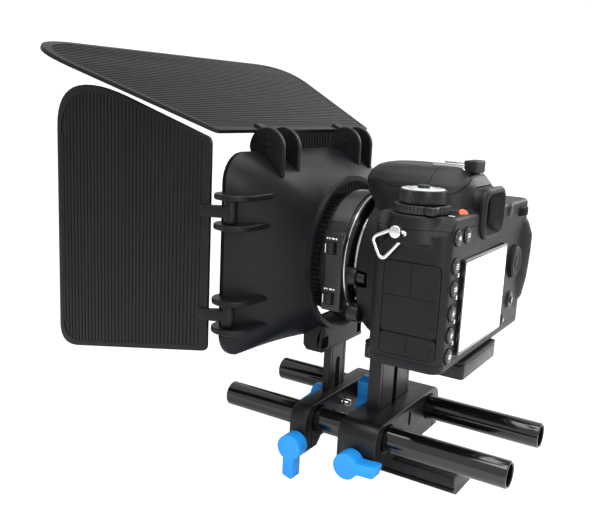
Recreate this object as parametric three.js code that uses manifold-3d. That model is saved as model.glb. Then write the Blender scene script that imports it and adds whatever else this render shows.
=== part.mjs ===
// Camera on a two-rod support rig with a flagged matte box.
// Millimetres, +Z up. X runs across the rig (+X is the photographer's left), the lens looks to -Y.
// Inside the rig group, X = 0 is the lens plane, Z = 0 is the height of the two rods' axes,
// and the whole group is shifted so that the object's box stands centred on the origin.
import * as THREE from 'three';
import { mergeVertices } from 'three/addons/utils/BufferGeometryUtils.js';
import Module from 'manifold-3d';

const wasm = await Module();
wasm.setup();

// ---------- driving dimensions ----------
const GAP = 0.3;
const FLOOR_Z = -30;

const ROD = { r: 7.5, wall: 1.3, x: 30, front: -128.1, rear: 53.2 };
const BLOCK = { half: 46, top: 10.5, bottom: -17, corner: 9, slitX: 38.2, slit: 1.4, holeEnd: 22 };
const REAR_BLOCK = { front: -41.5, rear: -17.5 };
const FRONT_BLOCK = { front: -74, rear: -63, bellyZ: -12 };
const KNOB = { r: 7.5, depth: 9.5, reach: 19, width: 6.8, screwR: 2.2, z: -11, headX: 46.6, lean: 0.07 };
const SIDE_KNOB_Y = { front: -68, rear: -30.5 };
const RISER_KNOB_Z = { front: 1, rear: 2 };
const REAR_RISER = { half: 21.3, front: -36.4, rear: -28.7, bottom: -12, top: 43.2 };
const REAR_SLOT = { width: 5, low: -5, high: 38 };
const FRONT_RISER = { half: 10.3, front: -73.6, rear: -68.9, bottom: -11.5, top: 43.6 };
const FRONT_SLOT = { width: 4.8, low: -6, high: 29.7 };
const TRAY = { half: 19, base: 13, front: -40, rear: 20, top: -17.3, lip: -26 };
const PLATE = { half: 27, front: -38, rear: 22, bottom: 43.5, top: 51.3, slot: 3.4 };
const PAD_TOP = 53.7;

const LENS = { z: 96.8, r: 39.5, frontY: -63.4, mountY: -45.2, bore: 27, neckR: 32 };
const LENS_SWITCH = { front: -58.2, rear: -51.8, floorX: 38.7, high: [103.4, 110.6], low: [74.4, 81.6] };
const HOOD = {
  ringY: -64.6, ringR: 47.4, rimY: -99, lipY: -101.4, half: 81.5, low: 42, high: 158, corner: 16, wall: 2.4,
};
const FOOT = { half: 25.5, sole: 39, front: -80, rear: -66.2, socketX: 22.5, socket: 4 };
const EAR = { r: 11.6, y: -92.8, thick: 3, gap: 13, pin: 1.8, boss: 3.6 };
const TOP_EARS = { z: 160.2, pivotZ: 162.2, x: 44.5 };
const SIDE_EARS = { x: 80.5, pivotX: 84.5, z: 98.8, dz: 28.5 };
const TOP_FLAG = { tilt: 22.9, start: 11.2, offset: 1.3, length: 113.5, thick: 2.4, back: 85.8, front: 134.5 };
const SIDE_FLAG = { tilt: 5.4, start: 10.8, offset: 1.9, length: 107.5, thick: 2.4 };
const SIDE_FLAG_Z = { backLow: 49, backHigh: 165.6, frontLow: 32.3, frontHigh: 202.5 };
// How far each rounded front corner of a flag reaches back along its side edge and in along its front edge.
const ROUNDING = { top: [34, 45], high: [52, 37], low: [15, 14] };

const BODY = { left: 59.5, right: -76, bottom: 54, top: 134, front: -21.5, back: 20.5, wall: 2.4 };
const TOP_SEAM = 127.5;
const BASE_SEAM = 59;
const REAR_SEAM = 9;
const FLASH_LINE = [[-60, 151], [-46, 149], [-28, 144.4], [-12, 142.8], [-6, 148], [-4, 170], [-60, 170]];
const LCD = { left: 40.2, right: -28.4, low: 61.1, high: 111.6, rear: 22.8 };
const PORTS = { front: -13, rear: 17.2, low: 61.6, split: 73, high: 110.2 };
const EYECUP = { half: 18, low: 118.4, high: 146, front: 13.2, rear: 22.8 };
const LUG = { r: 3.3, y: -6.5, z: 125.4, out: 3.4, hole: 1.9 };
const RING_WIRE = 0.95;
const RING_CORNERS = [
  [5, -1.4], [3.6, 0], [1.2, 0], [-1.2, 0], [-3.6, 0],
  [-5.2, -0.7], [-11, -3.6], [-12, -5.8], [-8.2, -13.4], [-5, -13.6],
];

const BUTTON = { r: 4, x: 49.4, out: 1.4 };
const MENU_BUTTON_Z = [109.8, 98.2, 85.6, 74.2, 62.9];
const REVIEW_BUTTON_X = [49.6, 36.6];
const REVIEW_BUTTON_Z = 124;
const REAR_BUTTONS = [
  ...MENU_BUTTON_Z.map((z) => [BUTTON.x, z]),
  ...REVIEW_BUTTON_X.map((x) => [x, REVIEW_BUTTON_Z]),
];
const DIAL = { x: 45, y: -1.2, low: 138.9, top: 146.4, r: 12.1, ringR: 14.4, ringLow: 134.3 };
const SHUTTER = { x: -60, y: -33, r: 5.2, top: 127.2, wellR: 9.6 };
const REAR_DIAL = { x: -60, y: 12.5, r: 11, low: 124.8, high: 129.6 };
const FRONT_DIAL = { x: -58, y: -36.4, z: 109.4, r: 9, half: 3.3 };
const SELECTOR = { x: -49.5, z: 97.5, r: 9.5 };
const RELEASE = { r: 5, x: 41.2, z: 93.5 };

const MOUNT_FLANGE = { r: 34.4, bore: 23.5, front: -43.6, rear: -41.8 };
const MIRROR = { hingeY: -8, hingeZ: 15, length: 30, half: 18 };
const BATTERY = { x0: -70, x1: -49, y0: -26.5, y1: 7, top: 112 };

// ---------- solids ----------
function solid(geometry) {
  const bare = geometry.index ? geometry.toNonIndexed() : geometry.clone();
  bare.deleteAttribute('normal');
  if (bare.attributes.uv) bare.deleteAttribute('uv');
  const merged = mergeVertices(bare, 1e-4);
  const mesh = new wasm.Mesh({
    numProp: 3,
    vertProperties: new Float32Array(merged.attributes.position.array),
    triVerts: new Uint32Array(merged.index.array),
  });
  return new wasm.Manifold(mesh);
}

function geometryOf(manifold) {
  const mesh = manifold.getMesh();
  const geometry = new THREE.BufferGeometry();
  geometry.setAttribute('position', new THREE.BufferAttribute(new Float32Array(mesh.vertProperties), 3));
  geometry.setIndex(new THREE.BufferAttribute(new Uint32Array(mesh.triVerts), 1));
  geometry.computeVertexNormals();
  return geometry;
}

function join(...parts) {
  return parts.reduce((sum, part) => sum.add(part));
}

function cut(base, ...tools) {
  return tools.reduce((left, tool) => left.subtract(tool), base);
}

function box(x0, x1, y0, y1, z0, z1) {
  const geometry = new THREE.BoxGeometry(x1 - x0, y1 - y0, z1 - z0);
  return solid(geometry.translate((x0 + x1) / 2, (y0 + y1) / 2, (z0 + z1) / 2));
}

// A round bar along an axis, from a low to a high coordinate; u and v are its centre on the other two axes.
function bar(axis, r, low, high, u, v, sides = 28, endR = r) {
  const geometry = new THREE.CylinderGeometry(endR, r, high - low, sides);
  const mid = (low + high) / 2;
  if (axis === 'x') geometry.rotateZ(-Math.PI / 2).translate(mid, u, v);
  if (axis === 'y') geometry.translate(u, mid, v);
  if (axis === 'z') geometry.rotateX(Math.PI / 2).translate(u, v, mid);
  return solid(geometry);
}

function tube(axis, outer, inner, low, high, u, v, sides = 28) {
  return cut(bar(axis, outer, low, high, u, v, sides), bar(axis, inner, low - 1, high + 1, u, v, sides));
}

// A flat outline pushed along an axis. Points are [y, z] for x, [x, z] for y and [x, y] for z.
function slab(axis, points, low, high, curveSegments = 2) {
  const drawn = points instanceof THREE.Shape;
  const shape = drawn ? points : new THREE.Shape(points.map(([u, v]) => new THREE.Vector2(u, v)));
  const geometry = new THREE.ExtrudeGeometry(shape, { depth: high - low, bevelEnabled: false, curveSegments });
  if (axis === 'x') geometry.rotateX(Math.PI / 2).rotateZ(Math.PI / 2).translate(low, 0, 0);
  if (axis === 'y') geometry.rotateX(Math.PI / 2).translate(0, high, 0);
  if (axis === 'z') geometry.translate(0, 0, low);
  return solid(geometry);
}

function roundedRectangle(u0, u1, v0, v1, r) {
  const shape = new THREE.Shape();
  shape.moveTo(u0 + r, v0);
  shape.lineTo(u1 - r, v0);
  shape.absarc(u1 - r, v0 + r, r, -Math.PI / 2, 0);
  shape.lineTo(u1, v1 - r);
  shape.absarc(u1 - r, v1 - r, r, 0, Math.PI / 2);
  shape.lineTo(u0 + r, v1);
  shape.absarc(u0 + r, v1 - r, r, Math.PI / 2, Math.PI);
  shape.lineTo(u0, v0 + r);
  shape.absarc(u0 + r, v0 + r, r, Math.PI, 1.5 * Math.PI);
  return shape;
}

// A solid from points and triangles, turned inside out if its faces pointed in.
function woven(points, faces) {
  const geometry = new THREE.BufferGeometry();
  const numbers = points.flatMap((p) => [p.x, p.y, p.z]);
  geometry.setAttribute('position', new THREE.Float32BufferAttribute(numbers, 3));
  geometry.setIndex(faces);
  const made = solid(geometry);
  return made.volume() > 0 ? made : solid(flipped(geometry));
}

// A closed skin through rings of equal point counts, capped by a fan at each end.
function loft(rings) {
  const count = rings[0].length;
  const points = rings.flat();
  const faces = [];
  for (let ring = 0; ring + 1 < rings.length; ring += 1) {
    for (let i = 0; i < count; i += 1) {
      const a = ring * count + i;
      const b = ring * count + (i + 1) % count;
      faces.push(a, b, b + count, a, b + count, a + count);
    }
  }
  for (const [ring, flip] of [[0, true], [rings.length - 1, false]]) {
    const centre = new THREE.Vector3();
    rings[ring].forEach((point) => centre.addScaledVector(point, 1 / count));
    points.push(centre);
    for (let i = 0; i < count; i += 1) {
      const a = ring * count + i;
      const b = ring * count + (i + 1) % count;
      faces.push(points.length - 1, flip ? b : a, flip ? a : b);
    }
  }
  return woven(points, faces);
}

function flipped(geometry) {
  const index = geometry.index.array;
  for (let i = 0; i < index.length; i += 3) [index[i], index[i + 1]] = [index[i + 1], index[i]];
  return geometry;
}

// ---------- rods, blocks and risers ----------
function rod(x) {
  return tube('y', ROD.r, ROD.r - ROD.wall, ROD.front, ROD.rear, x, 0, 28);
}

function blockOutline() {
  const { half, top, bottom, corner } = BLOCK;
  const shape = new THREE.Shape();
  shape.moveTo(-half, bottom);
  shape.lineTo(half, bottom);
  shape.lineTo(half, top - corner);
  shape.absarc(half - corner, top - corner, corner, 0, Math.PI / 2);
  shape.lineTo(-half + corner, top);
  shape.absarc(-half + corner, top - corner, corner, Math.PI / 2, Math.PI);
  return shape;
}

// Both blocks clamp the rods: each side has a bore, a slit from the bore down, and a cross hole for its knob.
function clampBlock(front, rear, knobY) {
  let block = slab('y', blockOutline(), front, rear, 3);
  for (const side of [-1, 1]) {
    const slitX = side * BLOCK.slitX;
    const slit = box(slitX - BLOCK.slit / 2, slitX + BLOCK.slit / 2, front - 1, rear + 1, BLOCK.bottom - 1, 0);
    const [low, high] = [side * BLOCK.holeEnd, side * (BLOCK.half + 1)].sort((a, b) => a - b);
    const hole = bar('x', KNOB.screwR + GAP, low, high, knobY, KNOB.z, 12);
    block = cut(block, bar('y', ROD.r + GAP, front - 1, rear + 1, side * ROD.x, 0, 28), slit, hole);
  }
  return block;
}

function rearBlock() {
  const { front, rear } = REAR_BLOCK;
  const knobZ = RISER_KNOB_Z.rear;
  const riser = REAR_RISER;
  const shaft = box(-riser.half - GAP, riser.half + GAP, riser.front - GAP, riser.rear + GAP, -18, 12);
  const hole = bar('y', KNOB.screwR + GAP, front - 1, rear - 6, 0, knobZ, 12);
  const keyhole = slab('y', roundedRectangle(-1.7, 1.7, knobZ - 4.5, knobZ + 4.5, 1.6), rear - 7, rear + 1);
  return cut(clampBlock(front, rear, SIDE_KNOB_Y.rear), shaft, hole, keyhole);
}

function frontBlock() {
  const { front, rear, bellyZ } = FRONT_BLOCK;
  const half = FRONT_RISER.half + GAP;
  const channel = box(-half, half, front - 1, FRONT_RISER.rear + GAP, -18, 12);
  const belly = slab('y', [[-33, -18], [33, -18], [27, bellyZ], [-27, bellyZ]], front - 1, rear + 1);
  const hole = bar('y', KNOB.screwR + GAP, front - 1, rear + 1, 0, RISER_KNOB_Z.front, 12);
  return cut(clampBlock(front, rear, SIDE_KNOB_Y.front), channel, belly, hole);
}

function slottedRiser(size, slot) {
  const reach = slot.width / 2;
  const outline = roundedRectangle(-reach, reach, slot.low, slot.high, reach - 0.1);
  const way = slab('y', outline, size.front - 1, size.rear + 1);
  return cut(box(-size.half, size.half, size.front, size.rear, size.bottom, size.top), way);
}

function tray() {
  const { half, base, front, rear, top, lip } = TRAY;
  const outline = [[-base, FLOOR_Z], [base, FLOOR_Z], [half, lip], [half, top], [-half, top], [-half, lip]];
  return slab('y', outline, front, rear);
}

// The slot that lets the tripod screw sit further forward or back under the camera.
function plateSlot() {
  return roundedRectangle(-PLATE.slot, PLATE.slot, -12, 9, PLATE.slot - 0.1);
}

function cameraPlate() {
  const { half, front, rear, bottom, top } = PLATE;
  const screwWay = slab('z', plateSlot(), bottom - 1, top + 1);
  return cut(slab('z', roundedRectangle(-half, half, front, rear, 2), bottom, top), screwWay);
}

function platePad() {
  const { half, front, rear, top } = PLATE;
  const screwWay = slab('z', plateSlot(), top, PAD_TOP + 1);
  return cut(slab('z', roundedRectangle(-half, half, front, rear, 2), top + GAP, PAD_TOP), screwWay);
}

// The tripod screw: a flat slotted head under the plate and a shank up into the camera's base.
function cameraScrew() {
  const head = bar('z', 8, 39.2, PLATE.bottom - GAP, 0, -2, 24);
  const shank = bar('z', 3, PLATE.bottom - 1, 60, 0, -2, 16);
  return cut(join(head, shank), box(-9, 9, -2.8, -1.2, 38, 40.4));
}

// ---------- clamp knobs ----------
// A thumb knob along +x from the origin: a round boss, one paddle whose tip is cut at a slant, and its screw.
function thumbKnob(screwLength) {
  const { r, depth, reach, width, screwR } = KNOB;
  const boss = bar('x', r, 0, depth, 0, 0, 20);
  const half = width / 2;
  const outline = [[0, -half], [reach - 1.8, -half], [reach, half - 1], [reach - 0.6, half], [0, half]];
  const paddle = slab('x', outline, 0.8, depth);
  const screw = bar('x', screwR, -screwLength, 1, 0, 0, 12);
  return geometryOf(join(boss, paddle, screw));
}

// ---------- matte box ----------
// The hood's outline at a share t of the way from the round collar to the rounded rectangular rim.
function hoodRing(y, t, shrink, sides = 40) {
  const halfW = HOOD.half - shrink;
  const corner = HOOD.corner - shrink / 2;
  const ringR = HOOD.ringR - shrink;
  const points = [];
  for (let i = 0; i < sides; i += 1) {
    const angle = (i / sides) * 2 * Math.PI;
    const c = Math.cos(angle);
    const s = Math.sin(angle);
    const halfH = (s < 0 ? LENS.z - HOOD.low : HOOD.high - LENS.z) - shrink;
    const rim = rimDistance(c, s, halfW, halfH, corner);
    const radius = ringR + (rim - ringR) * t;
    points.push(new THREE.Vector3(radius * c, y, LENS.z + radius * s));
  }
  return points;
}

// Distance from the centre to a rounded rectangle's edge along the direction (c, s).
function rimDistance(c, s, halfW, halfH, corner) {
  const flat = Math.min(halfW / Math.max(Math.abs(c), 1e-6), halfH / Math.max(Math.abs(s), 1e-6));
  const x = Math.abs(c) * flat;
  const z = Math.abs(s) * flat;
  const cx = halfW - corner;
  const cz = halfH - corner;
  if (x <= cx || z <= cz) return flat;
  const along = Math.abs(c) * cx + Math.abs(s) * cz;
  const off = cx * cx + cz * cz - along * along;
  return along + Math.sqrt(corner * corner - off);
}

function hoodSkin(shrink, backY, frontY) {
  const { ringY, rimY } = HOOD;
  const rings = [hoodRing(backY, 0, shrink), hoodRing(ringY - 3, 0, shrink)];
  const steps = 3;
  for (let i = 1; i <= steps; i += 1) {
    const share = i / steps;
    const bulge = share + 0.10 * Math.sin(Math.PI * share);
    rings.push(hoodRing(ringY - 3 + (rimY - ringY + 3) * share, bulge, shrink));
  }
  rings.push(hoodRing(frontY, 1, shrink));
  return loft(rings);
}

function matteBox() {
  const { ringY, lipY, wall } = HOOD;
  let hood = hoodSkin(0, ringY, lipY);
  for (const side of [-1, 1]) {
    for (const edge of [-1, 1]) {
      hood = join(hood, topEar(side * TOP_EARS.x + edge * (EAR.gap + EAR.thick) / 2));
      hood = join(hood, sideEar(side, SIDE_EARS.z - SIDE_EARS.dz + edge * (EAR.gap + EAR.thick) / 2));
      hood = join(hood, sideEar(side, SIDE_EARS.z + SIDE_EARS.dz + edge * (EAR.gap + EAR.thick) / 2));
    }
  }
  hood = join(hood, foot());
  const hollow = hoodSkin(wall, ringY + 1, lipY - 1);
  const { half, front, rear, top } = FRONT_RISER;
  const pocket = box(-half - GAP, half + GAP, front - GAP, rear + GAP, HOOD.low - 5, top + GAP);
  const sockets = [-1, 1].map((side) => {
    const x = side * FOOT.socketX;
    return box(x - FOOT.socket, x + FOOT.socket, -70, -60, 41.5, 48.5);
  });
  return cut(hood, hollow, pocket, ...sockets);
}

function earOutline(y, out, inward) {
  const shape = new THREE.Shape();
  shape.moveTo(y - EAR.r, out);
  shape.absarc(y, out, EAR.r, Math.PI, 0, true);
  shape.lineTo(y + EAR.r, out + inward);
  shape.lineTo(y - EAR.r + 5, out + inward);
  return shape;
}

function topEar(x) {
  const plate = slab('x', earOutline(EAR.y, TOP_EARS.z, -15), x - EAR.thick / 2, x + EAR.thick / 2, 4);
  return cut(plate, bar('x', EAR.pin + GAP, x - 3, x + 3, EAR.y, TOP_EARS.pivotZ, 8));
}

function sideEar(side, z) {
  const outline = earOutline(EAR.y, SIDE_EARS.x, -22).getPoints(4).map((p) => [side * p.y, p.x]);
  const plate = slab('z', outline, z - EAR.thick / 2, z + EAR.thick / 2);
  return cut(plate, bar('z', EAR.pin + GAP, z - 3, z + 3, side * SIDE_EARS.pivotX, EAR.y, 8));
}

function foot() {
  const { half, sole, front, rear } = FOOT;
  const outline = [[front, sole + 3], [front + 2.5, sole], [rear, sole], [rear, sole + 17], [front, sole + 17]];
  const block = slab('x', outline, -half, half);
  return cut(block, bar('y', HOOD.ringR - 1, -90, -60, 0, LENS.z, 48));
}

// A flag in its own frame: the pivot at the origin along z, the blade running out along +x and offset in +y.
function flag(size, back, front, rounding, arms) {
  const { start, offset, length, thick } = size;
  const end = start + length;
  const [[backward0, inward0], [backward1, inward1]] = rounding;
  const taper = (side, backward) => front[side] + (back[side] - front[side]) * backward / length;
  const outline = new THREE.Shape();
  outline.moveTo(start, back[0]);
  outline.lineTo(end - backward0, taper(0, backward0));
  outline.quadraticCurveTo(end, front[0], end, front[0] + inward0);
  outline.lineTo(end, front[1] - inward1);
  outline.quadraticCurveTo(end, front[1], end - backward1, taper(1, backward1));
  outline.lineTo(start, back[1]);
  let blade = slab('y', outline, offset, offset + thick, 6);
  for (const z of arms) {
    const reach = EAR.gap / 2 + EAR.thick;
    const face = offset + thick + 1.6;
    const arm = slab('z', [[-1, -3], [2, -3], [start, offset + 0.5], [start + 5, offset + 0.5],
      [start + 5, face], [start - 1, face], [0, 3.4]], z - 3.2, z + 3.2);
    const boss = bar('z', EAR.boss, z - EAR.gap / 2 + GAP, z + EAR.gap / 2 - GAP, 0, 0, 16);
    blade = join(blade, arm, boss, bar('z', EAR.pin, z - reach, z + reach, 0, 0, 8));
  }
  return blade;
}

function topFlag() {
  const { back, front } = TOP_FLAG;
  const tilt = THREE.MathUtils.degToRad(TOP_FLAG.tilt);
  const along = new THREE.Vector3(0, -Math.cos(tilt), Math.sin(tilt));
  const out = new THREE.Vector3(0, Math.sin(tilt), Math.cos(tilt));
  const rounding = [ROUNDING.top, ROUNDING.top];
  const blade = flag(TOP_FLAG, [-back, back], [-front, front], rounding, [-TOP_EARS.x, TOP_EARS.x]);
  return { geometry: geometryOf(blade), along, out, pivot: [0, EAR.y, TOP_EARS.pivotZ] };
}

// The two side flags mirror each other, so the right one is drawn upside down and turned over.
function sideFlag(side) {
  const { backLow, backHigh, frontLow, frontHigh } = SIDE_FLAG_Z;
  const span = (low, high) => [side * low, side * high].sort((a, b) => a - b);
  const tilt = THREE.MathUtils.degToRad(SIDE_FLAG.tilt);
  const along = new THREE.Vector3(side * Math.sin(tilt), -Math.cos(tilt), 0);
  const out = new THREE.Vector3(side * Math.cos(tilt), Math.sin(tilt), 0);
  const arms = span(SIDE_EARS.z - SIDE_EARS.dz, SIDE_EARS.z + SIDE_EARS.dz);
  const rounding = side > 0 ? [ROUNDING.low, ROUNDING.high] : [ROUNDING.high, ROUNDING.low];
  const blade = flag(SIDE_FLAG, span(backLow, backHigh), span(frontLow, frontHigh), rounding, arms);
  return { geometry: geometryOf(blade), along, out, pivot: [side * SIDE_EARS.pivotX, EAR.y, 0] };
}

// ---------- lens ----------
function lensPiece(outer, inner, low, high, sides = 36) {
  return geometryOf(tube('y', outer, inner, low, high, 0, LENS.z, sides));
}

// The fixed barrel: a wide section at the mount with a flat switch panel on its left.
function lensBarrel() {
  const rear = bar('y', LENS.r, LENS.frontY, LENS.mountY - GAP, 0, LENS.z, 40);
  const panel = box(36, LENS.r + 0.6, -60.3, -48.5, LENS.z - 26, LENS.z + 19);
  const bore = bar('y', LENS.bore, -93, -40, 0, LENS.z, 36);
  const slots = [LENS_SWITCH.high, LENS_SWITCH.low].map(([low, high]) => {
    return box(LENS_SWITCH.floorX, LENS.r + 2, LENS_SWITCH.front, LENS_SWITCH.rear, low, high);
  });
  return cut(join(rear, panel), bore, ...slots);
}

// The inner sleeve that the two rings turn on.
function lensTube() {
  return tube('y', LENS.neckR, LENS.bore, -92, LENS.frontY - GAP, 0, LENS.z, 36);
}

// A round glass whose front face bulges towards -y by its crown.
function glass(y, r, crown) {
  const profile = [new THREE.Vector2(0, -1.6), new THREE.Vector2(r, -1.6), new THREE.Vector2(r, 1.6)];
  for (let i = 2; i >= 0; i -= 1) {
    const radius = r * i / 3;
    profile.push(new THREE.Vector2(radius, 1.6 + crown * (1 - (radius / r) ** 2)));
  }
  const geometry = new THREE.LatheGeometry(profile, 30).rotateX(Math.PI).translate(0, y, LENS.z);
  return geometryOf(solid(geometry));
}

// A switch that slides along y in its slot, shown at the front end of its travel.
function slideSwitch([low, high]) {
  const { front, floorX } = LENS_SWITCH;
  const base = box(floorX + 0.4, floorX + 1.7, front + 0.4, front + 4.2, low + 0.4, high - 0.4);
  return join(base, box(floorX + 1.3, floorX + 2.5, front + 0.8, front + 3.6, low + 1, high - 1));
}

// ---------- camera body ----------
// The body's solid outside shape: core, hand grip, thumb rest, mount boss and prism hump.
function bodyOutside() {
  const { left, right, bottom, top, front, back } = BODY;
  const core = slab('z', roundedRectangle(right, left, front, back, 7), bottom, top, 4);
  const gripOutline = roundedRectangle(right, -43, -44, 6, 11);
  const gripSlope = slab('x', [[-50, 118], [-20, 128], [-20, 140], [-50, 140]], -80, -40);
  const grip = cut(slab('z', gripOutline, bottom, 127, 5), gripSlope);
  const thumb = loft([[67, 6], [78, 1], [112, 0], [126, 7]].map(([z, inset]) => thumbRing(z, inset)));
  const boss = bar('y', 43.5, -38.5, -18, 0, LENS.z - 1, 36, 47);
  const bossTrim = box(-60, 60, -60, 0, bottom, top + 20);
  const shoulderLine = [[left - 8, top + 1], [left + 1, top - 9], [left + 1, top + 1]];
  const shoulder = slab('y', shoulderLine, front - 1, back + 1);
  return cut(join(core, grip, thumb, boss.intersect(bossTrim), hump(), lug(1), lug(-1)), shoulder);
}

function thumbRing(z, inset) {
  const out = 30.2 - inset;
  return [[-76, 10], [-58, 10], [-57, 19], [-62, out - 3], [-70, out], [-75, out - 4], [-76, 17]]
    .map(([x, y]) => new THREE.Vector3(x, y, z));
}

function humpRing(z, halfW, front, rear, sides = 24) {
  const points = [];
  for (let i = 0; i < sides; i += 1) {
    const angle = (i / sides) * 2 * Math.PI;
    const power = 0.62;
    const c = Math.sign(Math.cos(angle)) * Math.abs(Math.cos(angle)) ** power;
    const s = Math.sign(Math.sin(angle)) * Math.abs(Math.sin(angle)) ** power;
    points.push(new THREE.Vector3(halfW * c, (front + rear) / 2 + (rear - front) / 2 * s, z));
  }
  return points;
}

function hump() {
  return loft([humpRing(126, 33, -40, 20), humpRing(134, 30, -43.6, 19), humpRing(140.5, 29.4, -48.4, 18),
    humpRing(146.5, 27.4, -49.4, 15.4), humpRing(151.5, 24, -47.5, 11), humpRing(155.2, 17, -39, 6)]);
}

// The hollow that holds the works; it stays inside every wall.
function bodyInside() {
  const { left, right, bottom, top, front, back, wall } = BODY;
  const coreOutline = roundedRectangle(right + wall, left - wall, front + wall, back - wall, 5);
  const core = slab('z', coreOutline, bottom + wall, top - wall, 3);
  const grip = slab('z', roundedRectangle(right + wall, -43 - wall, -44 + wall, 0, 9), bottom + wall, 115, 4);
  const boss = bar('y', 33, -60, -15, 0, LENS.z, 36);
  const prism = loft([humpRing(124, 29, -36, 14), humpRing(143, 25, -42, 12), humpRing(149, 18, -38, 6)]);
  return join(core, grip, boss, prism);
}

function flashZone(grow) {
  const line = FLASH_LINE.map(([y, z], i) => [y + (i > 3 && i < 6 ? grow : 0), z - (i < 5 ? grow : 0)]);
  return slab('x', line, -40, 40);
}

function shellCuts() {
  const { back } = BODY;
  const cuts = [];
  for (const [x, z] of REAR_BUTTONS) cuts.push(bar('y', BUTTON.r + GAP, back - 6, back + 4, x, z, 16));
  cuts.push(bar('y', SELECTOR.r + GAP, back - 6, back + 8, SELECTOR.x, SELECTOR.z, 28));
  cuts.push(box(LCD.right - GAP, LCD.left + GAP, back - 1.2, back + 4, LCD.low - GAP, LCD.high + GAP));
  const { low, high } = REAR_DIAL;
  cuts.push(bar('z', REAR_DIAL.r + GAP, low - GAP, high + GAP, REAR_DIAL.x, REAR_DIAL.y, 28));
  const slotHalf = FRONT_DIAL.half + GAP;
  const frontX = FRONT_DIAL.x;
  cuts.push(bar('x', FRONT_DIAL.r + GAP, frontX - slotHalf, frontX + slotHalf, FRONT_DIAL.y, FRONT_DIAL.z, 28));
  cuts.push(bar('z', SHUTTER.r + GAP, 100, 140, SHUTTER.x, SHUTTER.y, 24));
  cuts.push(bar('z', SHUTTER.wellR + GAP, SHUTTER.top - 3.8, 140, SHUTTER.x, SHUTTER.y, 32));
  const portWall = [PORTS.front - GAP, PORTS.rear + GAP, PORTS.low - GAP, PORTS.high + GAP];
  cuts.push(box(BODY.left - 1.9, BODY.left + 3, ...portWall));
  cuts.push(eyecupShape(GAP));
  cuts.push(box(-13, 13, 0, 30, 124.4, 139.2));
  cuts.push(bar('y', MOUNT_FLANGE.r + 2 * GAP, -60, MOUNT_FLANGE.rear + GAP, 0, LENS.z, 36));
  cuts.push(bar('y', RELEASE.r + GAP, -50, -30, RELEASE.x, RELEASE.z, 20));
  return cuts;
}

// Where the shells part from each other, with a seam's gap between them. The left wall is the front shell's.
function bodyShells() {
  const shell = cut(bodyOutside(), bodyInside(), flashZone(GAP), ...shellCuts());
  const far = 200;
  const { x0, x1, y0, y1 } = BATTERY;
  const leftWall = BODY.left - BODY.wall - 2;
  const above = box(-far, far, -far, far, TOP_SEAM, far);
  const below = box(-far, far, -far, far, -far, BASE_SEAM);
  const batteryGap = box(x0 - 1.4, x1 + 1.4, y0 - 1.4, y1 + 1.4, BODY.bottom - 1, BASE_SEAM + 3);
  const middle = box(-far, far, -far, far, BASE_SEAM + GAP, TOP_SEAM - GAP);
  const behind = box(-far, leftWall, REAR_SEAM + GAP / 2, far, BASE_SEAM + GAP, TOP_SEAM - GAP);
  const behindAndGap = box(-far, leftWall + GAP, REAR_SEAM - GAP / 2, far, 0, far);
  const hotShoeSeat = box(-10.5, 10.5, -13, 7, 154, 160);
  const screwWay = bar('z', 3.3, 50, 62, 0, -2, 16);
  return {
    top: cut(shell.intersect(above), hotShoeSeat),
    base: cut(shell.intersect(below), batteryGap, screwWay),
    rear: shell.intersect(behind),
    front: cut(shell.intersect(middle), behindAndGap),
  };
}

function eyecupShape(grow) {
  const { half, low, high, front, rear } = EYECUP;
  const outline = roundedRectangle(-half - grow, half + grow, low - grow, high + grow, 9);
  return slab('y', outline, front - grow, rear + 20 * grow, 5);
}

function eyecup() {
  const outline = roundedRectangle(-EYECUP.half, EYECUP.half, EYECUP.low, EYECUP.high, 9);
  const window = roundedRectangle(-12, 12, 122.8, 140.4, 4);
  const flare = roundedRectangle(-14.6, 14.6, 121, 142.6, 6);
  const ring = slab('y', outline, EYECUP.front, EYECUP.rear, 5);
  return cut(ring, slab('y', window, 0, 40, 3), slab('y', flare, 18.4, 40, 3));
}

// The largest piece of a cut shell; slivers left beside the holes are dropped.
function mainPiece(manifold) {
  return manifold.decompose().sort((a, b) => b.volume() - a.volume())[0];
}

function flashHead() {
  const lamp = loft([humpRing(138, 26, -43, -15), humpRing(149, 18, -41, -17)]);
  return mainPiece(cut(hump().intersect(flashZone(0)), lamp));
}

// A loop of round wire through points in the y-z plane, without ends.
function wireLoop(corners, r, sides = 6) {
  const knots = corners.map(([y, z]) => new THREE.Vector3(0, y, z));
  const curve = new THREE.CatmullRomCurve3(knots, true, 'catmullrom', 0.25);
  const steps = 22;
  const points = [];
  const faces = [];
  for (let i = 0; i < steps; i += 1) {
    const centre = curve.getPointAt(i / steps);
    const along = curve.getTangentAt(i / steps);
    const out = new THREE.Vector3(0, -along.z, along.y);
    for (let k = 0; k < sides; k += 1) {
      const angle = (k / sides) * 2 * Math.PI;
      const across = new THREE.Vector3(r * Math.sin(angle), 0, 0);
      points.push(across.addScaledVector(out, r * Math.cos(angle)).add(centre));
      const a = i * sides + k;
      const b = i * sides + (k + 1) % sides;
      const next = ((i + 1) % steps) * sides;
      faces.push(a, b, next + (k + 1) % sides, a, next + (k + 1) % sides, next + k);
    }
  }
  return woven(points, faces);
}

// A strap lug: a round post on the side wall with a hole for the strap ring.
function lug(side) {
  const wall = side > 0 ? BODY.left : BODY.right;
  const low = Math.min(wall - side * 1.5, wall + side * 5.5);
  const post = bar('x', LUG.r, low, low + 7, LUG.y, LUG.z, 16);
  const x = wall + side * LUG.out;
  return cut(post, bar('y', LUG.hole, LUG.y - 9, LUG.y + 9, x, LUG.z, 12));
}

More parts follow.
